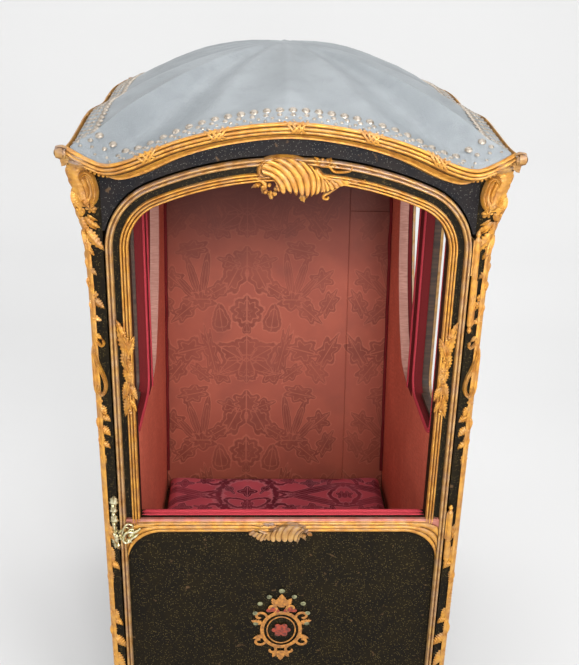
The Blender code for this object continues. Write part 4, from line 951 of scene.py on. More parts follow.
class CHAIR_OT_cornice(ChairOperator, bpy.types.Operator):
    """Carves the reeded cornice with its crossed ribbons and the scrolls on its corners"""
    bl_idname = "chair.cornice"
    bl_label = "Gilt cornice"

    # reeds from the top down: middle below the line, distance back, radius
    reed_rows = ((0.0038, 0.0010, 0.0039), (0.0113, 0.0, 0.0036), (0.0180, 0.0022, 0.0032))

    def section(self):
        """From the top inwards and down: distance back from the edge, drop below the line, in shadow; faces
        in shadow take the darker gilding as painted shade.
        """
        points = [(0.062, 0.0150, 0), (0.0090, 0.0150, 0)]
        for middle, back, radius in self.reed_rows:
            for turn in (-80, -45, -10, 25, 60):
                angle = math.radians(turn)
                points.append((back + radius * 1.2 * (1 - math.cos(angle)),
                               middle + radius * math.sin(angle), 0))
            points.append((back + radius * 1.5, middle + radius * 1.02, 1))
        points += [(0.0150, 0.0222, 0), (0.0130, 0.0236, 0), (0.0170, 0.0262, 0), (0.0240, 0.0284, 0),
                   (0.0262, 0.0300, 0), (0.0262, 0.0330, 0), (0.062, 0.0330, 0)]
        return points

    def run(self, line, turn_to, edge, limit):
        """Sections along one side, mitred at the corners: line gives height, turn_to makes places."""
        bm = bmesh.new()
        section = self.section()
        count = round(2 * limit / 0.006)
        rows = []
        for i in range(count + 1):
            s = limit * (2 * i / count - 1)
            z = height_at(line, s)
            rows.append([turn_to(s * (limit - back) / limit, edge - back, z - drop)
                         for back, drop, _ in section])
        made = grid(bm, rows)
        bm.faces.ensure_lookup_table()
        width = len(section) - 1
        # faces beside a point in shadow take the darker gilding: painted shade under each reed
        for row in range(count):
            for k in range(width):
                if section[k][2] or section[k + 1][2]:
                    bm.faces[row * width + k].material_index = 1
        for end_row in (made[0], made[-1]):
            bm.faces.new(end_row)
        # twisted beading under the reeds, stopped short of the corners
        pitch, stop, bead_back, bead_drop = 0.0075, 0.030, 0.0215, 0.0255
        beads = int(2 * (limit - stop) / pitch)
        for i in range(beads):
            s = (i + 0.5 - beads / 2) * pitch
            z = height_at(line, s)
            centre = turn_to(s, edge - bead_back, z - bead_drop)
            out = (turn_to(s, edge, z) - turn_to(s, 0.0, z)).normalized()
            across = Vector((0, 0, 1)).cross(out).normalized()
            bud(bm, Ground(centre, across, Vector((0, 0, 1)), out), (0, 0), 0.0032, 0.0034)
        return bm

    def ribbon(self, bm, line, turn_to, edge, spot):
        """Fine bands wound over the reeds at one place, first one way and then across."""
        z = height_at(line, spot)
        slope = (height_at(line, spot + 0.01) - height_at(line, spot - 0.01)) / 0.02
        # the ribbon runs round a bow of one radius whose middle lies under the reeds
        bow, inside, under = 0.0108, 0.0100, 0.0105
        for way, shift in ((-1, -0.009), (-1, 0.0), (-1, 0.009), (1, 0.002), (1, 0.011)):
            path, normals = [], []
            for i in range(11):
                t = i / 10
                angle = math.radians(-72 + 150 * t)
                s = spot + shift + way * 0.011 * (t - 0.5) * 2
                lift = z + slope * (s - spot)
                out_at = edge - inside + bow * math.cos(angle)
                path.append(turn_to(s, out_at, lift - under + bow * math.sin(angle)))
                out = turn_to(s, math.cos(angle), math.sin(angle)) - turn_to(s, 0.0, 0.0)
                normals.append(out.normalized())
            sweep(bm, path, normals, [(a * 0.0024, 0.0013 * b) for a, b in ROUND_SECTION])

    def volute(self, side, end):
        """A small scroll that closes the mouldings at a corner, with a rosette on its eye."""
        bm = bmesh.new()
        middle = Vector((side * 0.4105, end * 0.5105, SIDE_LOW - 0.0115))
        for across, out in (((side, 0, 0), (0, end, 0)), ((0, end, 0), (side, 0, 0))):
            ground = Ground(middle, across, (0, 0, 1), out)
            scroll(bm, ground, curl((-0.001, 0.0), 0.0125, 0.004, 150, -420, 26),
                   0.006, 0.0135, (0.1, 0.05), -0.006)
            flower(bm, ground, (-0.001, 0.0), 0.0062, 0.0095, 6)
            scroll(bm, ground, [(-0.046, -0.0165), (-0.032, -0.0145), (-0.018, -0.0075), (-0.010, 0.006)],
                   0.013, 0.0085, (0.3, 0.6), -0.012)
            leaf(bm, ground, (-0.040, -0.0235), 8, 0.038, 0.011, 0.005, 5, 0.3, -0.008)
        way = Vector((side, end, 0.0)).normalized()
        belly = Ground(middle - way * 0.004, (-way.y, way.x, 0.0), (0, 0, 1), way)
        bud(bm, belly, (0.0, -0.001), 0.0115, 0.0105)
        leaf(bm, belly, (0.0, -0.0035), -90, 0.020, 0.026, 0.007, 3, 0.0, -0.004)
        return bm

    def execute(self, context):
        done = finishes()
        cross, length = (FRONT_LINE, EDGE_HALF_Y, EDGE_HALF_X), (SIDE_LINE, EDGE_HALF_X, EDGE_HALF_Y)
        for name, turn, (line, edge, limit), spots in (
            ("front", -1, cross, (-0.262, -0.137, 0.004, 0.137, 0.262)),
            ("rear", 1, cross, (-0.262, -0.137, 0.004, 0.137, 0.262)),
            ("left", -1, length, (-0.3, -0.15, 0.0, 0.15, 0.3)),
            ("right", 1, length, (-0.3, -0.15, 0.0, 0.15, 0.3)),
        ):
            def turn_to(s, out_at, z, turn=turn, crossing=line is FRONT_LINE):
                return Vector((s, turn * out_at, z) if crossing else (turn * out_at, s, z))
            bm = self.run(line, turn_to, edge, limit)
            for spot in spots:
                self.ribbon(bm, line, turn_to, edge, spot)
            piece(f"cornice_{name}_carved", bm, [done["gilt"], done["hollow"]], "roof", "gilt_wood",
                  [f"cornice_{name}"])
        for side, side_name in SIDES:
            for end, end_name in ENDS:
                piece(f"corner_scroll_{end_name}_{side_name}", self.volute(side, end), [done["gilt_worn"]],
                      "roof", "gilt_wood", [f"volute_{end_name}_{side_name}"])
        return {"FINISHED"}


class CHAIR_OT_door(ChairOperator, bpy.types.Operator):
    """Carves the door's mouldings, its two shells and the foliage beside the window"""
    bl_idname = "chair.door"
    bl_label = "Door carving"

    def loop(self, settings, inset, low):
        """A closed line parallel to the door's edge, from the lower right corner up and round."""
        half, steps_x, steps_z = DOOR_HALF - inset, 60, 120
        line = [(half, low + (settings.spring - low) * i / steps_z) for i in range(steps_z)]
        line += arch(settings, inset)
        line += [(-half, settings.spring - (settings.spring - low) * i / steps_z)
                 for i in range(1, steps_z + 1)]
        line += [(-half + 2 * half * i / steps_x, low) for i in range(1, steps_x)]
        return [FRONT_GROUND.at(u, v) for u, v in line]

    def execute(self, context):
        settings, done = finish_of(context), finishes()
        outer = settings.outer_width / 2
        moulding("door_outer_reeds", self.loop(settings, outer, DOOR_FOOT + outer), OUT,
                 (settings.outer_width, 0.0118, 2, 0.10), [done["gilt_worn"], done["hollow"]], "door",
                 "door_outer_moulding", OUT)
        inner = settings.outer_width + settings.strip_width + settings.inner_width / 2
        moulding("door_window_reeds", self.loop(settings, inner, SILL_TOP - 0.012), OUT,
                 (settings.inner_width, 0.0098, 3, 0.13), [done["gilt"], done["hollow"]], "door",
                 "door_window_moulding", OUT)
        piece("door_rail_reeds", self.rail(), [done["gilt"], done["hollow"], done["salmon"]], "door",
              "gilt_wood", ["door_rail_moulding"], OUT)
        piece("door_sill_braid", self.sill_braid(settings), [done["braid"]], "door", "silk_damask")
        self.paint_cartouche(done)
        piece("door_crown_carved", self.crown(), [done["gilt"]], "door", "gilt_wood", ["door_crown_shell"])
        piece("door_rail_carved", self.rail_shell(), [done["gilt_worn"]], "door", "gilt_wood",
              ["door_rail_shell"])
        for side, name in SIDES:
            piece(f"door_foliage_{name}", self.foliage(side), [done["gilt"]], "door", "gilt_wood")
        return {"FINISHED"}

    def rail(self):
        """The gilt rail under the window: reeds that follow the curve of the panel below, and a bare edge."""
        bm = bmesh.new()
        half, radius, drop = FIELD_HALF, 0.075, 0.075
        foot = RAIL_LOW + drop
        right = [(half, RAIL_LOW)] + arc((half - radius, foot - radius), radius, 0.0, 90.0, 18)
        lower = right + [(-u, v) for u, v in reversed(right)]
        # lines from the panel's edge up to the sill: share of the way, height above the door, finish; finish
        # 1, on the step after each reed, is the darker gilding of painted shade
        profile = [(0.0, 0.0, 0), (0.0, 0.0060, 0)]
        for first, last, high in ((0.0, 0.22, 0.0075), (0.26, 0.50, 0.0100), (0.54, 0.76, 0.0092)):
            for k in range(5):
                t = k / 4
                profile.append((first + (last - first) * t, high * (0.72 + 0.28 * math.sin(math.pi * t)), 0))
            profile += [(last + 0.005, high * 0.55, 1), (last + 0.035, high * 0.55, 1)]
        profile = profile[:-1] + [(0.86, 0.0085, 2), (0.99, 0.0070, 2), (1.0, 0.0, 2)]
        rows = []
        count = 120
        for i in range(count + 1):
            low = along(lower, i / count)
            high = Vector((max(-half, min(half, low.x)), SILL_TOP))
            rows.append([FRONT_GROUND.at(*low.lerp(high, share), lift) for share, lift, _ in profile])
        grid(bm, rows)
        bm.faces.ensure_lookup_table()
        width = len(profile) - 1
        for index, face in enumerate(bm.faces):
            face.material_index = max(profile[index % width][2], profile[index % width + 1][2])
        return bm

    def sill_braid(self, settings):
        """Two rows of gimp along the inner edge of the window sill."""
        bm = bmesh.new()
        inset = settings.outer_width + settings.strip_width + settings.inner_width
        half = DOOR_HALF - inset - 0.002
        for y, z, radius in ((FACE + 0.0215, SILL_TOP, 0.0055), (FACE + 0.0110, SILL_TOP, 0.0030)):
            ground = Ground((0, y, z), (1, 0, 0), (0, 1, 0), (0, 0, 1))
            line = [(half * (2 * i / 60 - 1), 0.0) for i in range(61)]
            scroll(bm, ground, line, radius * 2, radius * 1.1, (0.01, 0.01), -0.0003, ROUND_SECTION)
        return bm

    def paint_cartouche(self, done):
        """A painted wreath round a rosette on the panel, in place of any device."""
        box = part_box("door_cartouche")
        middle = ((box[0][0] + box[1][0]) / 2, (box[0][2] + box[1][2]) / 2)
        paint = Ground((middle[0], box[0][1] + 0.0012, middle[1]), (1.2, 0, 0), (0, 0, 1.04), (0, -1, 0))
        bm = bmesh.new()
        # oval frame of ochre scrollwork
        for radius_u, radius_v, width in ((0.036, 0.045, 0.0085), (0.0265, 0.0345, 0.0030)):
            line = [(radius_u * math.cos(math.tau * i / 64), radius_v * math.sin(math.tau * i / 64) - 0.014)
                    for i in range(65)]
            scroll(bm, paint, line, width, 0.0010, (0, 0), 0.0, ROUND_SECTION)
        for side in (-1, 1):
            for centre, start, turn, first, last in (
                ((0.040, 0.022), 200, -330, 0.0135, 0.003), ((0.041, -0.044), 160, 330, 0.0135, 0.003),
                ((0.018, 0.043), 250, -300, 0.0110, 0.003), ((0.017, -0.068), 110, 290, 0.0100, 0.003),
            ):
                line = [(side * u, v) for u, v in curl(centre, first, last, start, turn, 26)]
                scroll(bm, paint, line, 0.0062, 0.0011, (0.1, 0.2), 0.0, ROUND_SECTION)
            leaves(bm, paint, [(side * u, v, turn if side > 0 else 180 - turn, length, width)
                               for u, v, turn, length, width in (
                (0.036, 0.004, 20, 0.022, 0.012), (0.034, -0.030, -20, 0.020, 0.011),
                (0.008, 0.050, 62, 0.022, 0.012), (0.006, -0.070, -62, 0.020, 0.011))], 0.0010, 5)
        leaf(bm, paint, (0.0, 0.046), 90, 0.034, 0.020, 0.0011, 7)
        leaf(bm, paint, (0.0, -0.070), -90, 0.026, 0.016, 0.0011, 5)
        piece("panel_ornament_ochre", bm, [done["ochre"]], "door", "painted_cartouche", ["door_cartouche"])
        bm = bmesh.new()
        for side in (-1, 1):
            for i in range(4):
                turn = math.radians(62 - 26 * i)
                spot = (side * 0.052 * math.cos(turn) * 0.95, 0.060 * math.sin(turn) + 0.020)
                bud(bm, paint, spot, 0.0052, 0.0016)
        bud(bm, paint, (0.0, 0.088), 0.0058, 0.0018)
        piece("panel_ornament_beads", bm, [done["grey_green"]], "door", "painted_cartouche")
        bm = bmesh.new()
        flower(bm, paint, (0.0, -0.014), 0.0180, 0.0013, 6, 0.0006)
        for side in (-1, 1):
            bow = [(side * u, v) for u, v in ((0.004, 0.034), (0.016, 0.040), (0.028, 0.036))]
            scroll(bm, paint, smooth_line(bow, 6), 0.0120, 0.0010, (0.3, 0.3), 0.0, ROUND_SECTION)
        piece("panel_ornament_red", bm, [done["red"]], "door", "painted_cartouche")

    def crown(self):
        """The large fluted shell at the top with its branch, ruffle and flowers."""
        bm = bmesh.new()
        ground = FRONT_GROUND
        shell(bm, ground, [(-0.045, 1.446), (-0.052, 1.449), (-0.055, 1.460), (-0.046, 1.471),
                           (-0.028, 1.4765),
                           (-0.002, 1.4765), (0.020, 1.472), (0.036, 1.464), (0.045, 1.457)],
              [(-0.028, 1.419), (-0.018, 1.409), (-0.004, 1.4105), (0.008, 1.407), (0.020, 1.403),
               (0.030, 1.402),
               (0.040, 1.406), (0.050, 1.410), (0.060, 1.415)], 0.0075, 9, 0.17, 0.0060)
        rim = smooth_line([(-0.047, 1.446), (-0.054, 1.444), (-0.059, 1.451), (-0.057, 1.462),
                           (-0.047, 1.473),
                           (-0.028, 1.4775), (-0.002, 1.4775), (0.020, 1.473), (0.037, 1.465),
                           (0.048, 1.458)], 5)
        scroll(bm, ground, rim, 0.0105, 0.0128, (0.12, 0.3))
        branch = smooth_line([(0.043, 1.461), (0.048, 1.452), (0.060, 1.443), (0.076, 1.439),
                              (0.100, 1.4395)], 6)
        scroll(bm, ground, branch, 0.0125, 0.0128, (0.12, 0.85), 0.001, ROUND_SECTION)
        shell(bm, ground, [(0.046, 1.455), (0.054, 1.444), (0.066, 1.439), (0.085, 1.438), (0.108, 1.439),
                           (0.134, 1.4395)],
              [(0.058, 1.412), (0.069, 1.4155), (0.083, 1.4215), (0.097, 1.4275), (0.118, 1.434),
               (0.138, 1.4375)],
              0.0050, 8, 0.08, 0.0060)
        curl_line = smooth_line([(0.092, 1.428), (0.079, 1.420), (0.069, 1.414), (0.061, 1.409),
                                 (0.0605, 1.4035),
                                 (0.0665, 1.4025), (0.069, 1.407)], 5)
        scroll(bm, ground, curl_line, 0.0062, 0.0085, (0.4, 0.1), 0.001, ROUND_SECTION)
        stem = smooth_line([(0.036, 1.475), (0.043, 1.470), (0.054, 1.464), (0.068, 1.463), (0.078, 1.454),
                            (0.094, 1.4535), (0.106, 1.456), (0.110, 1.463), (0.104, 1.4665)], 5)
        scroll(bm, ground, stem, 0.0066, 0.0110, (0.2, 0.15), 0.001, ROUND_SECTION)
        leaves(bm, ground, (
            (0.052, 1.464, 118, 0.020, 0.011), (0.066, 1.464, 62, 0.016, 0.012),
            (0.080, 1.458, 100, 0.016, 0.012),
            (0.094, 1.459, 130, 0.014, 0.009), (-0.030, 1.416, 48, 0.024, 0.010),
            (-0.048, 1.426, -120, 0.016, 0.010),
            (-0.040, 1.416, -80, 0.016, 0.010), (-0.055, 1.428, -170, 0.020, 0.009),
            (0.020, 1.409, -80, 0.014, 0.012),
        ), 0.0080, 3, 0.3, 0.003)
        buds(bm, ground, (
            (0.056, 1.4745, 0.0040), (0.065, 1.4735, 0.0042), (0.077, 1.467, 0.0044),
            (0.090, 1.467, 0.0038),
            (-0.064, 1.427, 0.0042), (-0.053, 1.4235, 0.0046), (-0.041, 1.427, 0.0044),
            (-0.048, 1.4145, 0.0050),
            (-0.029, 1.420, 0.0042), (-0.031, 1.411, 0.0048), (-0.037, 1.4045, 0.0042),
            (-0.016, 1.425, 0.0038),
        ), 1.7, 0.003)
        scroll(bm, ground, smooth_line([(-0.088, 1.4425), (-0.072, 1.4405), (-0.059, 1.436),
                                        (-0.050, 1.430),
                                        (-0.0485, 1.4245), (-0.054, 1.4225)], 5),
               0.0095, 0.0105, (0.7, 0.15), 0.0, ROUND_SECTION)
        return bm

    def rail_shell(self):
        """The small shell that hangs from the middle of the rail."""
        bm = bmesh.new()
        ground = FRONT_GROUND
        shell(bm, ground, [(0.040, 0.677), (0.044, 0.684), (0.038, 0.691), (0.018, 0.6955),
                           (-0.002, 0.6935),
                           (-0.018, 0.686), (-0.031, 0.678)],
              [(0.036, 0.661), (0.030, 0.654), (0.018, 0.650), (0.004, 0.6505), (-0.010, 0.652),
               (-0.024, 0.652),
               (-0.036, 0.659)], 0.0068, 7, -0.16, 0.0085)
        rim = smooth_line([(0.040, 0.676), (0.0455, 0.683), (0.044, 0.690), (0.034, 0.6945), (0.016, 0.697),
                           (-0.002, 0.6945), (-0.018, 0.687), (-0.031, 0.6785), (-0.042, 0.674)], 5)
        scroll(bm, ground, rim, 0.0080, 0.0120, (0.12, 0.3))
        left = smooth_line([(-0.062, 0.6835), (-0.050, 0.678), (-0.036, 0.6735), (-0.024, 0.676)], 5)
        scroll(bm, ground, left, 0.0075, 0.0120, (0.5, 0.3), 0.0, ROUND_SECTION)
        shell(bm, ground, [(-0.064, 0.681), (-0.052, 0.677), (-0.040, 0.674), (-0.030, 0.672)],
              [(-0.076, 0.671), (-0.063, 0.664), (-0.050, 0.653),
               (-0.036, 0.658)], 0.0058, 5, -0.05, 0.0075)
        right = smooth_line([(0.044, 0.672), (0.050, 0.678), (0.056, 0.684)], 5)
        scroll(bm, ground, right, 0.0065, 0.0110, (0.3, 0.5), 0.0, ROUND_SECTION)
        leaves(bm, ground, (
            (-0.044, 0.690, 160, 0.018, 0.010), (-0.030, 0.692, 150, 0.016, 0.009),
            (-0.018, 0.696, 172, 0.018, 0.007),
            (0.040, 0.668, -60, 0.014, 0.010), (0.030, 0.660, -90, 0.012, 0.009),
            (0.050, 0.672, -20, 0.012, 0.008),
        ), 0.0090, 3, 0.2, 0.004)
        buds(bm, ground, (
            (0.026, 0.660, 0.0040), (0.037, 0.666, 0.0042), (0.046, 0.665, 0.0036),
            (-0.046, 0.693, 0.0032), (-0.056, 0.694, 0.0030),
        ), 2.0, 0.004)
        return bm

    def foliage(self, side):
        """Overlapping leaves on the window moulding, halfway up."""
        bm = bmesh.new()
        ground = Ground((side * 0.3145, FACE, 0.0), (-side, 0, 0), (0, 0, 1), (0, -1, 0))
        for i, (v, turn, length, width) in enumerate((
            (1.088, 96, 0.074, 0.022), (1.082, 78, 0.046, 0.016), (1.104, 110, 0.040, 0.014),
            (1.058, 98, 0.048, 0.020), (1.040, 84, 0.044, 0.018), (1.052, 118, 0.030, 0.015),
            (1.058, -84, 0.040, 0.020), (1.030, -100, 0.044, 0.018), (1.020, -74, 0.034, 0.015),
            (0.998, -92, 0.048, 0.017), (0.990, -70, 0.030, 0.012),
        )):
            leaf(bm, ground, (0.0025 * (i % 3 - 1), v), turn, length, width, 0.0068, 7,
                 0.25 * (-1) ** i, 0.0052)
        flower(bm, ground, (0.001, 1.058), 0.0082, 0.0055, 6, 0.0085)
        for v in (1.128, 1.122, 0.966, 0.960, 1.075, 1.038):
            bud(bm, ground, (0.003 * math.sin(v * 400), v), 0.0034, 0.0040, 0.0095)
        return bm


class CHAIR_OT_posts(ChairOperator, bpy.types.Operator):
    """Carves the gilt edge, console and hanging garlands of the corner posts"""
    bl_idname = "chair.posts"
    bl_label = "Corner posts"

    # leaves: place in from the edge, height, turn, length, width, lobes (metres and degrees)
    leaves = (
        (0.018, 1.461, -104, 0.066, 0.036, 7), (0.030, 1.462, -80, 0.030, 0.018, 5),
        (0.000, 1.412, -96, 0.028, 0.017, 5), (0.008, 1.410, -78, 0.026, 0.014, 5),
        (-0.004, 1.396, -110, 0.026, 0.014, 5), (0.014, 1.398, -62, 0.024, 0.013, 5),
        (0.018, 1.368, -50, 0.020, 0.011, 3), (0.012, 1.362, -70, 0.028, 0.012, 5),
        (0.014, 1.352, -38, 0.022, 0.011, 3), (0.004, 1.362, -96, 0.034, 0.013, 5),
        (0.006, 1.340, -66, 0.052, 0.016, 7), (0.002, 1.335, -92, 0.046, 0.012, 5),
        (0.004, 1.300, -60, 0.016, 0.008, 3), (0.002, 1.284, -100, 0.020, 0.009, 3),
        (0.004, 1.262, -58, 0.018, 0.008, 3), (0.001, 1.245, -98, 0.020, 0.009, 3),
        (0.008, 1.200, -56, 0.026, 0.011, 5), (0.002, 1.198, -92, 0.024, 0.010, 3),
        (0.002, 1.165, -40, 0.020, 0.008, 3), (0.004, 1.128, -48, 0.018, 0.008, 3),
        (0.004, 0.972, -70, 0.026, 0.014, 5), (0.008, 0.952, -50, 0.022, 0.012, 5),
        (0.001, 0.948, -96, 0.028, 0.012, 5), (0.006, 0.925, -60, 0.026, 0.013, 5),
        (0.002, 0.905, -90, 0.028, 0.011, 5), (0.006, 0.890, -52, 0.020, 0.010, 3),
        (0.003, 0.862, -84, 0.024, 0.009, 3),
        (0.004, 0.690, -78, 0.050, 0.014, 5), (0.003, 0.636, -84, 0.042, 0.014, 7),
        (0.008, 0.596, -56, 0.024, 0.012, 5), (0.002, 0.572, -92, 0.032, 0.012, 5),
        (0.002, 0.470, -70, 0.030, 0.014, 5), (0.006, 0.445, -50, 0.024, 0.012, 5),
        (0.000, 0.430, -92, 0.036, 0.013, 5), (0.004, 0.398, -58, 0.042, 0.016, 7),
        (0.002, 0.352, -74, 0.050, 0.016, 7), (0.004, 0.300, -62, 0.040, 0.014, 5),
        (0.003, 0.150, -84, 0.050, 0.014, 5), (0.004, 0.100, -70, 0.050, 0.018, 7),
    )
    # flowers and rosettes: place in, height, radius, petals
    blooms = (
        (0.027, 1.379, 0.0115, 6), (0.005, 1.388, 0.0085, 5), (0.009, 1.209, 0.0075, 5),
        (0.005, 0.982, 0.0070, 4),
        (0.005, 0.918, 0.0070, 5), (0.004, 0.880, 0.0060, 5), (0.004, 0.544, 0.0065, 5),
        (0.004, 0.512, 0.0060, 5),
        (0.003, 0.488, 0.0060, 4),
    )
    # beads: place in, height, radius
    beads = (
        (0.013, 1.377, 0.0042), (0.001, 1.376, 0.0045), (0.010, 1.372, 0.0038), (0.003, 1.312, 0.0034),
        (0.006, 1.274, 0.0030), (0.001, 1.232, 0.0034), (0.006, 1.224, 0.0032), (0.003, 1.218, 0.0034),
        (0.008, 0.966, 0.0030), (0.003, 0.868, 0.0030), (0.003, 0.560, 0.0034), (0.004, 0.528, 0.0036),
        (0.003, 0.500, 0.0034), (0.004, 0.478, 0.0034), (0.004, 0.336, 0.0034),
    )

    def carve(self, side, end):
        """All the carving of one post; side and end are its signs across and along the chair."""
        bm = bmesh.new()
        face, corner = PostGround(side, end), PostGround(side, end, 0.45)
        # plain rounded edge down the corner, and another down its side
        foot, edge_in, sunk = 0.006, 0.0038, -0.0004
        line = [(edge_in, foot + (1.330 - foot) * i / 110) for i in range(111)]
        scroll(bm, corner, line, 0.0130, 0.0042, (0.02, 0.02), sunk, ROUND_SECTION)
        back = [(-edge_in, foot + (1.340 - foot) * i / 60) for i in range(61)]
        side_ground = PostGround(side, end, 1.0)
        scroll(bm, side_ground, back, 0.0100, 0.0036, (0.02, 0.02), sunk, ROUND_SECTION)
        # body of the console under its leaves
        low, tall, console_lift = 1.362, 0.101, 0.0032
        inner = [(low, 0.008), (1.378, 0.024), (1.392, 0.034), (1.410, 0.0405), (1.440, 0.0415),
                 (1.463, 0.0440)]
        rows = []
        for i in range(25):
            v = low + tall * i / 24
            reach = height_at(inner, v)
            rows.append([face.at(-0.001 + (reach + 0.001) * k / 6, v,
                                 0.0 if k in (0, 6) or i in (0, 24) else console_lift) for k in range(7)])
        grid(bm, rows)
        # scroll of the console, from its eye over the crest and down
        path = smooth_line([(0.020, 1.428), (0.023, 1.441), (0.0325, 1.4475), (0.0405, 1.441),
                            (0.0425, 1.424),
                            (0.0400, 1.404), (0.033, 1.391), (0.027, 1.388)], 5)
        scroll(bm, face, path, 0.0120, 0.0130, (0.25, 0.2))
        scroll(bm, face, smooth_line([(0.022, 1.452), (0.026, 1.434), (0.027, 1.414), (0.024, 1.396)], 5),
               0.0110, 0.0085, (0.4, 0.4))
        # pierced scroll halfway down, like a long ear
        ear = smooth_line([(0.001, 1.108), (0.002, 1.086), (0.008, 1.060), (0.016, 1.038), (0.0195, 1.018),
                           (0.0155, 1.002), (0.008, 0.998), (0.004, 1.008), (0.0065, 1.022)], 5)
        scroll(bm, face, ear, 0.0085, 0.0085, (0.15, 0.1))
        scroll(bm, corner, [(0.001, 1.110 - 0.0115 * i) for i in range(11)], 0.0095, 0.0070, (0.2, 0.2))
        hook = smooth_line([(0.002, 1.128), (0.008, 1.112), (0.016, 1.103), (0.0205, 1.108),
                            (0.018, 1.116)], 4)
        scroll(bm, face, hook, 0.0062, 0.0060, (0.3, 0.2))
        for u, v, turn, length, width, lobes in self.leaves:
            leaf(bm, face if u > 0.003 else corner, (u, v), turn, length, width * 1.35, 0.0062, lobes, 0.35)
        for u, v, radius, petals in self.blooms:
            flower(bm, face if u > 0.006 else corner, (u, v), radius, radius * 0.85, petals, 0.001)
        buds(bm, face, self.beads, 1.2, 0.001)
        # leaves that turn on to the side face
        for i in range(9):
            leaf(bm, side_ground, (-0.012, 1.455 - 0.020 * i), -92 - 18 * (i % 2), 0.028, 0.016,
                 0.0056, 5, -0.2)
        # foot
        scroll(bm, face, [(0.003 + 0.012 * i / 8, 0.050 - 0.045 * i / 8) for i in range(9)], 0.012, 0.006)
        return bm

    def execute(self, context):
        done = finishes()
        for side, side_name in SIDES:
            for end, end_name in ENDS:
                piece(f"post_carving_{end_name}_{side_name}", self.carve(side, end), [done["gilt"]],
                      "chair_body", "gilt_wood")
        return {"FINISHED"}


class CHAIR_OT_windows(ChairOperator, bpy.types.Operator):
    """Frames the side windows and the lower panels with gilt reeds, and lines the openings"""
    bl_idname = "chair.windows"
    bl_label = "Side windows and panels"

    def frame_round(self, name, path, out, done):
        """Reeds laid round an opening or panel on an outer face, in place of the plain solid."""
        moulding(f"{name}_reeds", path, Vector(out), (0.0140, 0.0080, 2, 0.12),
                 [done["gilt_worn"], done["hollow"]], "chair_body", name)

    def reveal(self, side, loop, start, end):
        """A lining inside an opening, between two distances from the middle of the chair."""
        bm = bmesh.new()
        path = [Vector((side * (start + end) / 2, y, z)) for y, z in loop]
        normals = [Vector((0, n.x, n.y)) for n in inward(loop)]
        wide = (end - start) / 2
        section = [(-wide, -0.0006), (-wide, 0.0010), (-wide * 0.8, 0.0018), (wide * 0.8, 0.0018),
                   (wide, 0.0010), (wide, -0.0006)]
        sweep(bm, path, normals, section, closed=True)
        return bm

    def execute(self, context):
        done = finishes()
        # linings of the openings: name, opening, from, to, finish, slot
        linings = (
            ("quarter_reveal", QUARTER_WINDOW, SILK_FACE, WALL_OUTER - 0.012, "reveal", "silk_damask"),
            # the gimp finish of these two is the crimson darkened as painted shade
            ("quarter_gimp", QUARTER_WINDOW, WALL_OUTER - 0.0115, WALL_OUTER - 0.002, "gimp", "silk_damask"),
            ("front_reveal", FRONT_WINDOW, SILK_FACE, SILK_FACE + 0.0190, "gimp", "silk_damask"),
            ("sash_channel", FRONT_WINDOW, SILK_FACE + 0.0195, WALL_OUTER - 0.001, "sash", "plain_wood"),
        )
        # to the middle of the frames' reeds: out from an opening, and in from a panel's solid
        out_by, in_by, panel_corner = 0.009, 0.008, 0.060
        for side, name in SIDES:
            for title, loop in (("front", FRONT_WINDOW), ("quarter", QUARTER_WINDOW)):
                middle = [Vector(p) - n * out_by for p, n in zip(loop, inward(loop))]
                self.frame_round(f"window_moulding_{title}_{name}",
                                 [Vector((side * WALL_OUTER, y, z)) for y, z in middle], (side, 0, 0), done)
            panel = rounded(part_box(f"side_moulding_{name}"), 1, in_by, panel_corner)
            self.frame_round(f"side_moulding_{name}", [Vector((side * WALL_OUTER, y, z)) for y, z in panel],
                             (side, 0, 0), done)
            for title, loop, start, end, finish, slot in linings:
                piece(f"{title}_{name}", self.reveal(side, loop, start, end), [done[finish]],
                      "chair_body", slot)
        panel = rounded(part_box("rear_moulding"), 0, in_by, panel_corner)
        self.frame_round("rear_moulding", [Vector((x, -FACE, z)) for x, z in panel], (0, 1, 0), done)
        # stop behind the gap over the door, in a darker, duller copy of the lacquer: painted shade in the gap
        bm = bmesh.new()
        settings = finish_of(context)
        near, far = FACE + STOP_DEPTH, FACE + STOP_DEPTH + 0.0030
        grid(bm, [[Vector((u, y, v)) for (u, v), y in (
            (outer, near), (inner, near), (inner, far), (outer, far), (outer, near))]
            for outer, inner in zip(arch(settings, -0.012), arch(settings, 0.014))])
        piece("door_stop", bm, [done["groove"]], "chair_body", "green_lacquer")
        return {"FINISHED"}


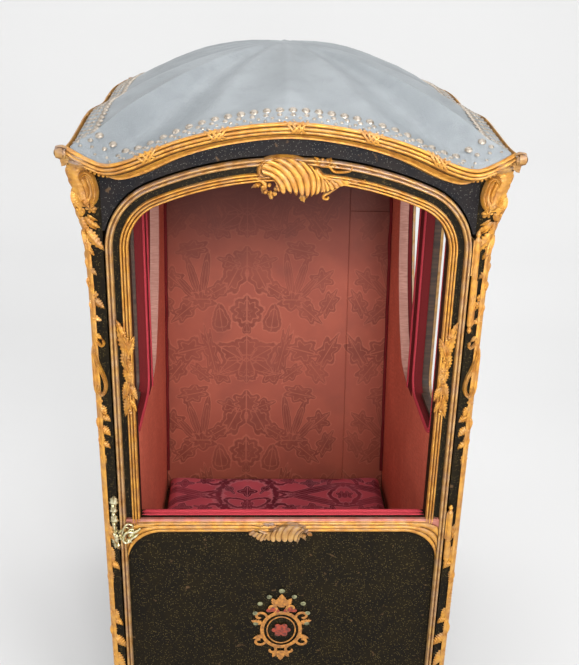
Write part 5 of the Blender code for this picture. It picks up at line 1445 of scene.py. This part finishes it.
class CHAIR_OT_cabin(ChairOperator, bpy.types.Operator):
    """Lines the cabin with silk, trims it with gimp and stuffs the seat cushion"""
    bl_idname = "chair.cabin"
    bl_label = "Cabin"

    def wall(self, side):
        """Brick silk stretched over one inner side, cut out round the windows."""
        bm = bmesh.new()
        low, front, top = BACK_LOW[2], FACE + STOP_DEPTH, 1.432
        rear, back_top = 0.425, BACK_HIGH[2]
        outline = [(front, low), (back_face(low) - 0.0008, low), (back_face(back_top) - 0.0008, back_top),
                   (rear, back_top + 0.001), (rear, top), (front, top)]
        loops = [outline, list(reversed(FRONT_WINDOW)), list(reversed(QUARTER_WINDOW))]
        plate(bm, loops, lambda u, v, x: Vector((side * x, u, v)), SILK_FACE, SILK_FACE + 0.0030)
        return bm

    def cords(self, side):
        """Crimson gimp round the front window, down the pillar and along the door post."""
        bm = bmesh.new()
        out = Vector((-side, 0, 0))
        x = side * (SILK_FACE - 0.0002)
        section = [(a * 0.0052, b * 0.0042) for a, b in ROUND_SECTION]
        ring = [Vector(p) - n * 0.0052 for p, n in zip(FRONT_WINDOW, inward(FRONT_WINDOW))]
        sweep(bm, [Vector((x, y, z)) for y, z in ring], out, section, closed=True)
        pillar = QUARTER_WINDOW_FRONT - 0.0056
        sweep(bm, [Vector((x, pillar, 0.850 + 0.545 * i / 60)) for i in range(61)], out, section)
        post = FACE + 0.0405
        sweep(bm, [Vector((x, post, BACK_LOW[2] + 0.02 + 0.98 * i / 90)) for i in range(91)], out, section)
        return bm

    def pillar_strip(self, side):
        """Velvet ribbon on the pillar between the windows, in the crimson darkened as painted shade."""
        bm = bmesh.new()
        front, rear = max(y for y, _ in FRONT_WINDOW) + 0.0105, QUARTER_WINDOW_FRONT - 0.0110
        foot, top = 0.852, 1.415
        loop = [(front, foot), (rear, foot), (rear, top), (front, top)]
        plate(bm, [loop], lambda u, v, x: Vector((side * x, u, v)), SILK_FACE - 0.0012, SILK_FACE)
        return bm

    def back(self):
        """The stretched damask of the back, with its vertical join and a short cross join."""
        bm = bmesh.new()
        half = BACK_HIGH[0] - 0.0045
        join, cross_join = 0.195, 1.180
        swell, ripple, seam = 4.5 * MM, 1.6 * MM, 1.8 * MM
        columns = sorted([-half + 2 * half * i / 70 for i in range(71)]
                         + [join - 0.0015, join - 0.0005, join + 0.0005, join + 0.0015])
        levels = sorted([BACK_LOW[2] + (BACK_HIGH[2] - BACK_LOW[2]) * i / 90 for i in range(91)]
                        + [cross_join - 0.001, cross_join, cross_join + 0.001])
        rows = []
        for z in levels:
            row = []
            for x in columns:
                share_x = abs(x) / half
                share_z = abs(2 * (z - BACK_LOW[2]) / (BACK_HIGH[2] - BACK_LOW[2]) - 1)
                puff = swell * (1 - share_x ** 10) * (1 - share_z ** 14)
                puff += ripple * noise.noise(Vector((x * 7, z * 5, 3.0))) * (1 - share_x ** 6)
                if abs(x - join) < 0.0011 or (x > join and abs(z - cross_join) < 0.0006):
                    puff -= seam
                row.append(Vector((x, back_face(z) - 0.0006 - puff, z)))
            rows.append(row)
        made = grid(bm, rows)
        rim = made[0] + [row[-1] for row in made[1:-1]] + list(reversed(made[-1])) + [
            row[0] for row in reversed(made[1:-1])]
        deep = [bm.verts.new(vert.co + Vector((0, 0.0200, 0))) for vert in rim]
        for k in range(len(rim)):
            j = (k + 1) % len(rim)
            bm.faces.new((rim[k], rim[j], deep[j], deep[k]))
        bm.faces.new(deep)
        return bm

    def back_cords(self):
        """Slack gimp along both edges of the back, in the crimson darkened as painted shade."""
        bm = bmesh.new()
        for side in (-1, 1):
            path = []
            for i in range(121):
                z = 0.440 + (BACK_HIGH[2] - 0.444) * i / 120
                sway = 0.0022 * noise.noise(Vector((z * 16, side * 5.0, 0.0)))
                path.append(Vector((side * (BACK_HIGH[0] - 0.0072) + sway, back_face(z) - 0.0040, z)))
            sweep(bm, path, Vector((-side * 0.5, -0.86, 0)),
                  [(a * 0.0046, b * 0.0040) for a, b in ROUND_SECTION])
        return bm

    def cushion(self, context):
        """A flat squab swollen by its stuffing."""
        low, high = (Vector(corner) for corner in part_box("seat_cushion"))
        bm = bmesh.new()
        bmesh.ops.create_cube(bm, size=1.0)
        # the cover is sewn this much smaller than the solid on each side, and the stuffing swells it
        shrink = Vector((0.004, 0.006, 0.0075))
        for vert in bm.verts:
            vert.co = Vector([(low[k] + high[k]) / 2 + vert.co[k] * (high[k] - low[k] - 2 * shrink[k])
                              for k in range(3)])
        bmesh.ops.bevel(bm, geom=bm.edges[:], offset=0.012, segments=3, affect="EDGES", profile=0.5)
        rough = bpy.data.objects.new("squab_draft", bpy.data.meshes.new("squab_draft"))
        bm.to_mesh(rough.data)
        bm.free()
        context.scene.collection.objects.link(rough)
        remesh = rough.modifiers.new("voxels", "REMESH")
        remesh.mode, remesh.voxel_size = "VOXEL", 0.006
        self.bake(context, rough)
        rest = [vert.co.copy() for vert in rough.data.vertices]
        cloth = rough.modifiers.new("stuffing", "CLOTH")
        cloth.settings.quality = 5
        cloth.settings.use_pressure = True
        cloth.settings.uniform_pressure_force = 4.0
        cloth.settings.effector_weights.gravity = 0.0
        frames = 20
        cloth.point_cache.frame_start, cloth.point_cache.frame_end = 1, frames
        for step in range(1, frames + 1):
            context.scene.frame_set(step)
        self.bake(context, rough)
        # no point swells more than the cap, or past the solid's box
        cap = 0.010
        for vert, start in zip(rough.data.vertices, rest):
            moved = vert.co - start
            if moved.length > cap:
                vert.co = start + moved.normalized() * cap
            for axis in range(3):
                vert.co[axis] = min(high[axis] + 0.0015, max(low[axis] - 0.0002, vert.co[axis]))
        bm = bmesh.new()
        bm.from_mesh(rough.data)
        bpy.data.objects.remove(rough, do_unlink=True)
        return bm

    def bake(self, context, thing):
        """Applies every modifier of a draft to its mesh."""
        evaluated = thing.evaluated_get(context.evaluated_depsgraph_get())
        made = bpy.data.meshes.new_from_object(evaluated)
        thing.modifiers.clear()
        thing.data = made

    def execute(self, context):
        done = finishes()
        for side, name in SIDES:
            piece(f"wall_silk_{name}", self.wall(side), [done["orange"]], "chair_body", "silk_damask",
                  [f"lining_{name}"])
            piece(f"window_cords_{name}", self.cords(side), [done["braid"]], "chair_body", "silk_damask")
            piece(f"pillar_ribbon_{name}", self.pillar_strip(side), [done["gimp"]], "chair_body",
                  "silk_damask")
        piece("back_damask", self.back(), [done["back"]], "chair_body", "silk_damask", ["back_pad"])
        piece("back_cords", self.back_cords(), [done["gimp"]], "chair_body", "silk_damask")
        squab = piece("squab", self.cushion(context), [done["seat"]], "chair_body", "cushion_silk",
                      ["seat_cushion"])
        smooth = squab.modifiers.new("smooth", "SUBSURF")
        smooth.levels = smooth.render_levels = 1
        return {"FINISHED"}


class CHAIR_OT_latch(ChairOperator, bpy.types.Operator):
    """Casts the scrolled door latch and its keeper"""
    bl_idname = "chair.latch"
    bl_label = "Latch"

    def execute(self, context):
        done = finishes()
        ground = FRONT_GROUND
        bm = bmesh.new()
        for u, v, turn, length, width, lobes in (
            (-0.3595, 0.736, 86, 0.026, 0.015, 3), (-0.3600, 0.716, 90, 0.026, 0.012, 3),
            (-0.3598, 0.690, 90, 0.030, 0.013, 3), (-0.3602, 0.664, 92, 0.030, 0.011, 3),
            (-0.3600, 0.668, -90, 0.036, 0.013, 5), (-0.3560, 0.642, -70, 0.016, 0.009, 3),
        ):
            leaf(bm, ground, (u, v), turn, length, width * 1.4, 0.0052, lobes)
        for v in (0.738, 0.7175, 0.6935, 0.668):
            bud(bm, ground, (-0.3600, v), 0.0054, 0.0070, 0.001)
        scroll(bm, ground, [(-0.3600, 0.630 + 0.118 * i / 20) for i in range(21)], 0.0075, 0.0050,
               (0.1, 0.1), 0.0, ROUND_SECTION)
        piece("keeper_cast", bm, [done["brass"]], "chair_body", "latch_brass", ["latch_keeper"])
        bm = bmesh.new()
        raised = 0.010
        bud(bm, ground, (-0.3435, 0.6655), 0.0070, 0.012, 0.002)
        bud(bm, ground, (-0.3435, 0.6655), 0.0052, 0.020, 0.002)
        for line, width in (
            ([(-0.3435, 0.6655), (-0.3410, 0.6625), (-0.3370, 0.6740), (-0.3280, 0.6800), (-0.3180, 0.6785),
              (-0.3090, 0.6830), (-0.3045, 0.6880)], 0.0066),
            ([(-0.3435, 0.6655), (-0.3380, 0.6540), (-0.3290, 0.6550), (-0.3220, 0.6640), (-0.3140, 0.6690),
              (-0.3085, 0.6745)], 0.0056),
            ([(-0.3430, 0.6700), (-0.3400, 0.6850), (-0.3350, 0.6950), (-0.3280, 0.7000), (-0.3215, 0.6980),
              (-0.3190, 0.6930), (-0.3230, 0.6900)], 0.0050),
            ([(-0.3510, 0.6750), (-0.3430, 0.6840), (-0.3350, 0.6920), (-0.3260, 0.6900)], 0.0036),
            ([(-0.3300, 0.6800), (-0.3260, 0.6870), (-0.3190, 0.6870), (-0.3180, 0.6810)], 0.0040),
        ):
            scroll(bm, ground, smooth_line(line, 5), width, 0.0060, (0.15, 0.25), raised, ROUND_SECTION)
        leaves(bm, ground, (
            (-0.330, 0.668, 20, 0.018, 0.009), (-0.326, 0.676, 60, 0.012, 0.007),
            (-0.334, 0.660, -40, 0.014, 0.008), (-0.312, 0.680, 30, 0.012, 0.007),
        ), 0.0050, 3, 0.4, raised)
        scroll(bm, ground, [(-0.3435, 0.638 + 0.056 * i / 12) for i in range(13)], 0.0090, 0.0040,
               (0.3, 0.3), 0.0, ROUND_SECTION)
        piece("latch_cast", bm, [done["brass"]], "door", "latch_brass", ["latch"])
        return {"FINISHED"}


class CHAIR_OT_stage(ChairOperator, bpy.types.Operator):
    """Sets the pale studio: floor, soft lamps, surroundings and the camera"""
    bl_idname = "chair.stage"
    bl_label = "Studio"

    def stand(self, scene, name, data):
        """Puts one thing of the studio in the scene."""
        made = bpy.data.objects.new(name, data)
        scene.collection.objects.link(made)
        return made

    def execute(self, context):
        scene = context.scene
        paper, tree, shader = new_material("matt paper sweep", 0.9)
        shader.inputs["Base Color"].default_value = (*linear("#E4E4E4"), 1.0)
        # the paper shows from its front only, so that the chair can be seen from the rear too
        behind = add(tree, "ShaderNodeNewGeometry").outputs["Backfacing"]
        one_sided = add(tree, "ShaderNodeMixShader", Fac=behind, in_1=shader.outputs[0],
                        in_2=add(tree, "ShaderNodeBsdfTransparent").outputs[0])
        tree.links.new(one_sided.outputs[0], tree.nodes["Material Output"].inputs["Surface"])
        rows = []
        for y, z in ((-6.0, 0.0), (1.6, 0.0), (2.2, 0.06), (2.7, 0.3), (3.0, 0.8), (3.1, 1.6), (3.1, 5.0)):
            rows.append([(-7.0, y, z - 0.001), (7.0, y, z - 0.001)])
        bm = bmesh.new()
        grid(bm, rows)
        mesh = bpy.data.meshes.new("paper_sweep")
        bm.to_mesh(mesh)
        bm.free()
        mesh.materials.append(paper)
        mesh.shade_smooth()
        self.stand(scene, "paper_sweep", mesh)

        world = bpy.data.worlds.new("studio air")
        scene.world = world
        world.use_nodes = True
        air = world.node_tree.nodes["Background"]
        air.inputs["Color"].default_value = (*linear("#EFEFEF"), 1.0)
        air.inputs["Strength"].default_value = 0.78

        # lamps: name, place, aimed at, size, power, spread in degrees
        lamps = (
            ("window_right", (2.2, -3.0, 3.0), (0.0, 0.0, 0.8), 2.2, 84.0, 180.0),
            ("window_left", (-3.0, -1.2, 2.6), (0.0, 0.0, 0.8), 2.2, 34.0, 180.0),
            ("ceiling", (0.2, 0.6, 3.8), (0.0, 0.0, 0.8), 2.6, 40.0, 180.0),
            ("cabin_glow", (0.25, -2.0, 1.95), (0.0, 0.3, 0.8), 0.5, 1.8, 40.0),
            ("front_fill", (0.0, -3.2, 1.5), (0.0, 0.4, 0.85), 1.4, 40.0, 180.0),
        )
        for name, where, aim, size, power, spread in lamps:
            lamp = bpy.data.lights.new(name, "AREA")
            lamp.size, lamp.energy, lamp.spread = size, power, math.radians(spread)
            made = self.stand(scene, name, lamp)
            made.location = where
            made.rotation_mode = "QUATERNION"
            made.rotation_quaternion = (Vector(aim) - Vector(where)).to_track_quat("-Z", "Y")

        scene.view_settings.view_transform = "Standard"
        eye = bpy.data.cameras.new("eye_level")
        eye.lens, eye.sensor_width = 50.06, 36.0
        eye.clip_end = 60.0
        holder = self.stand(scene, "eye_level", eye)
        eye_at, (yaw, pitch, roll) = (-0.0711, -2.149, 1.8099), (0.0440, 0.3818, 0.0238)
        ahead = Vector((math.sin(yaw) * math.cos(pitch), math.cos(yaw) * math.cos(pitch), -math.sin(pitch)))
        right = Vector((math.cos(yaw), -math.sin(yaw), 0.0))
        up = right.cross(ahead)
        tilted = right * math.cos(roll) + up * math.sin(roll)
        above = up * math.cos(roll) - right * math.sin(roll)
        turned = Matrix((tilted, above, -ahead)).transposed().to_4x4()
        holder.matrix_world = Matrix.Translation(eye_at) @ turned
        scene.camera = holder
        return {"FINISHED"}


STEPS = ("body", "roof", "cornice", "posts", "windows", "cabin", "door", "latch", "stage")


class CHAIR_PT_panel(bpy.types.Panel):
    bl_idname = "CHAIR_PT_panel"
    bl_label = "Sedan chair"
    bl_space_type = "VIEW_3D"
    bl_region_type = "UI"
    bl_category = "Chair"

    def draw(self, context):
        settings = finish_of(context)
        for key in settings.bl_rna.properties.keys():
            if key not in ("rna_type", "name"):
                self.layout.prop(settings, key)
        for step in STEPS:
            self.layout.operator(f"chair.{step}")


CLASSES = (ChairFinish, CHAIR_OT_body, CHAIR_OT_roof, CHAIR_OT_cornice, CHAIR_OT_posts, CHAIR_OT_windows,
           CHAIR_OT_cabin, CHAIR_OT_door, CHAIR_OT_latch, CHAIR_OT_stage, CHAIR_PT_panel)


def register():
    for made in CLASSES:
        bpy.utils.register_class(made)
    bpy.types.Scene.chair_finish = bpy.props.PointerProperty(type=ChairFinish)


def unregister():
    del bpy.types.Scene.chair_finish
    for made in reversed(CLASSES):
        bpy.utils.unregister_class(made)


def main():
    register()
    for step in STEPS:
        getattr(bpy.ops.chair, step)()


if __name__ == "__main__":
    main()
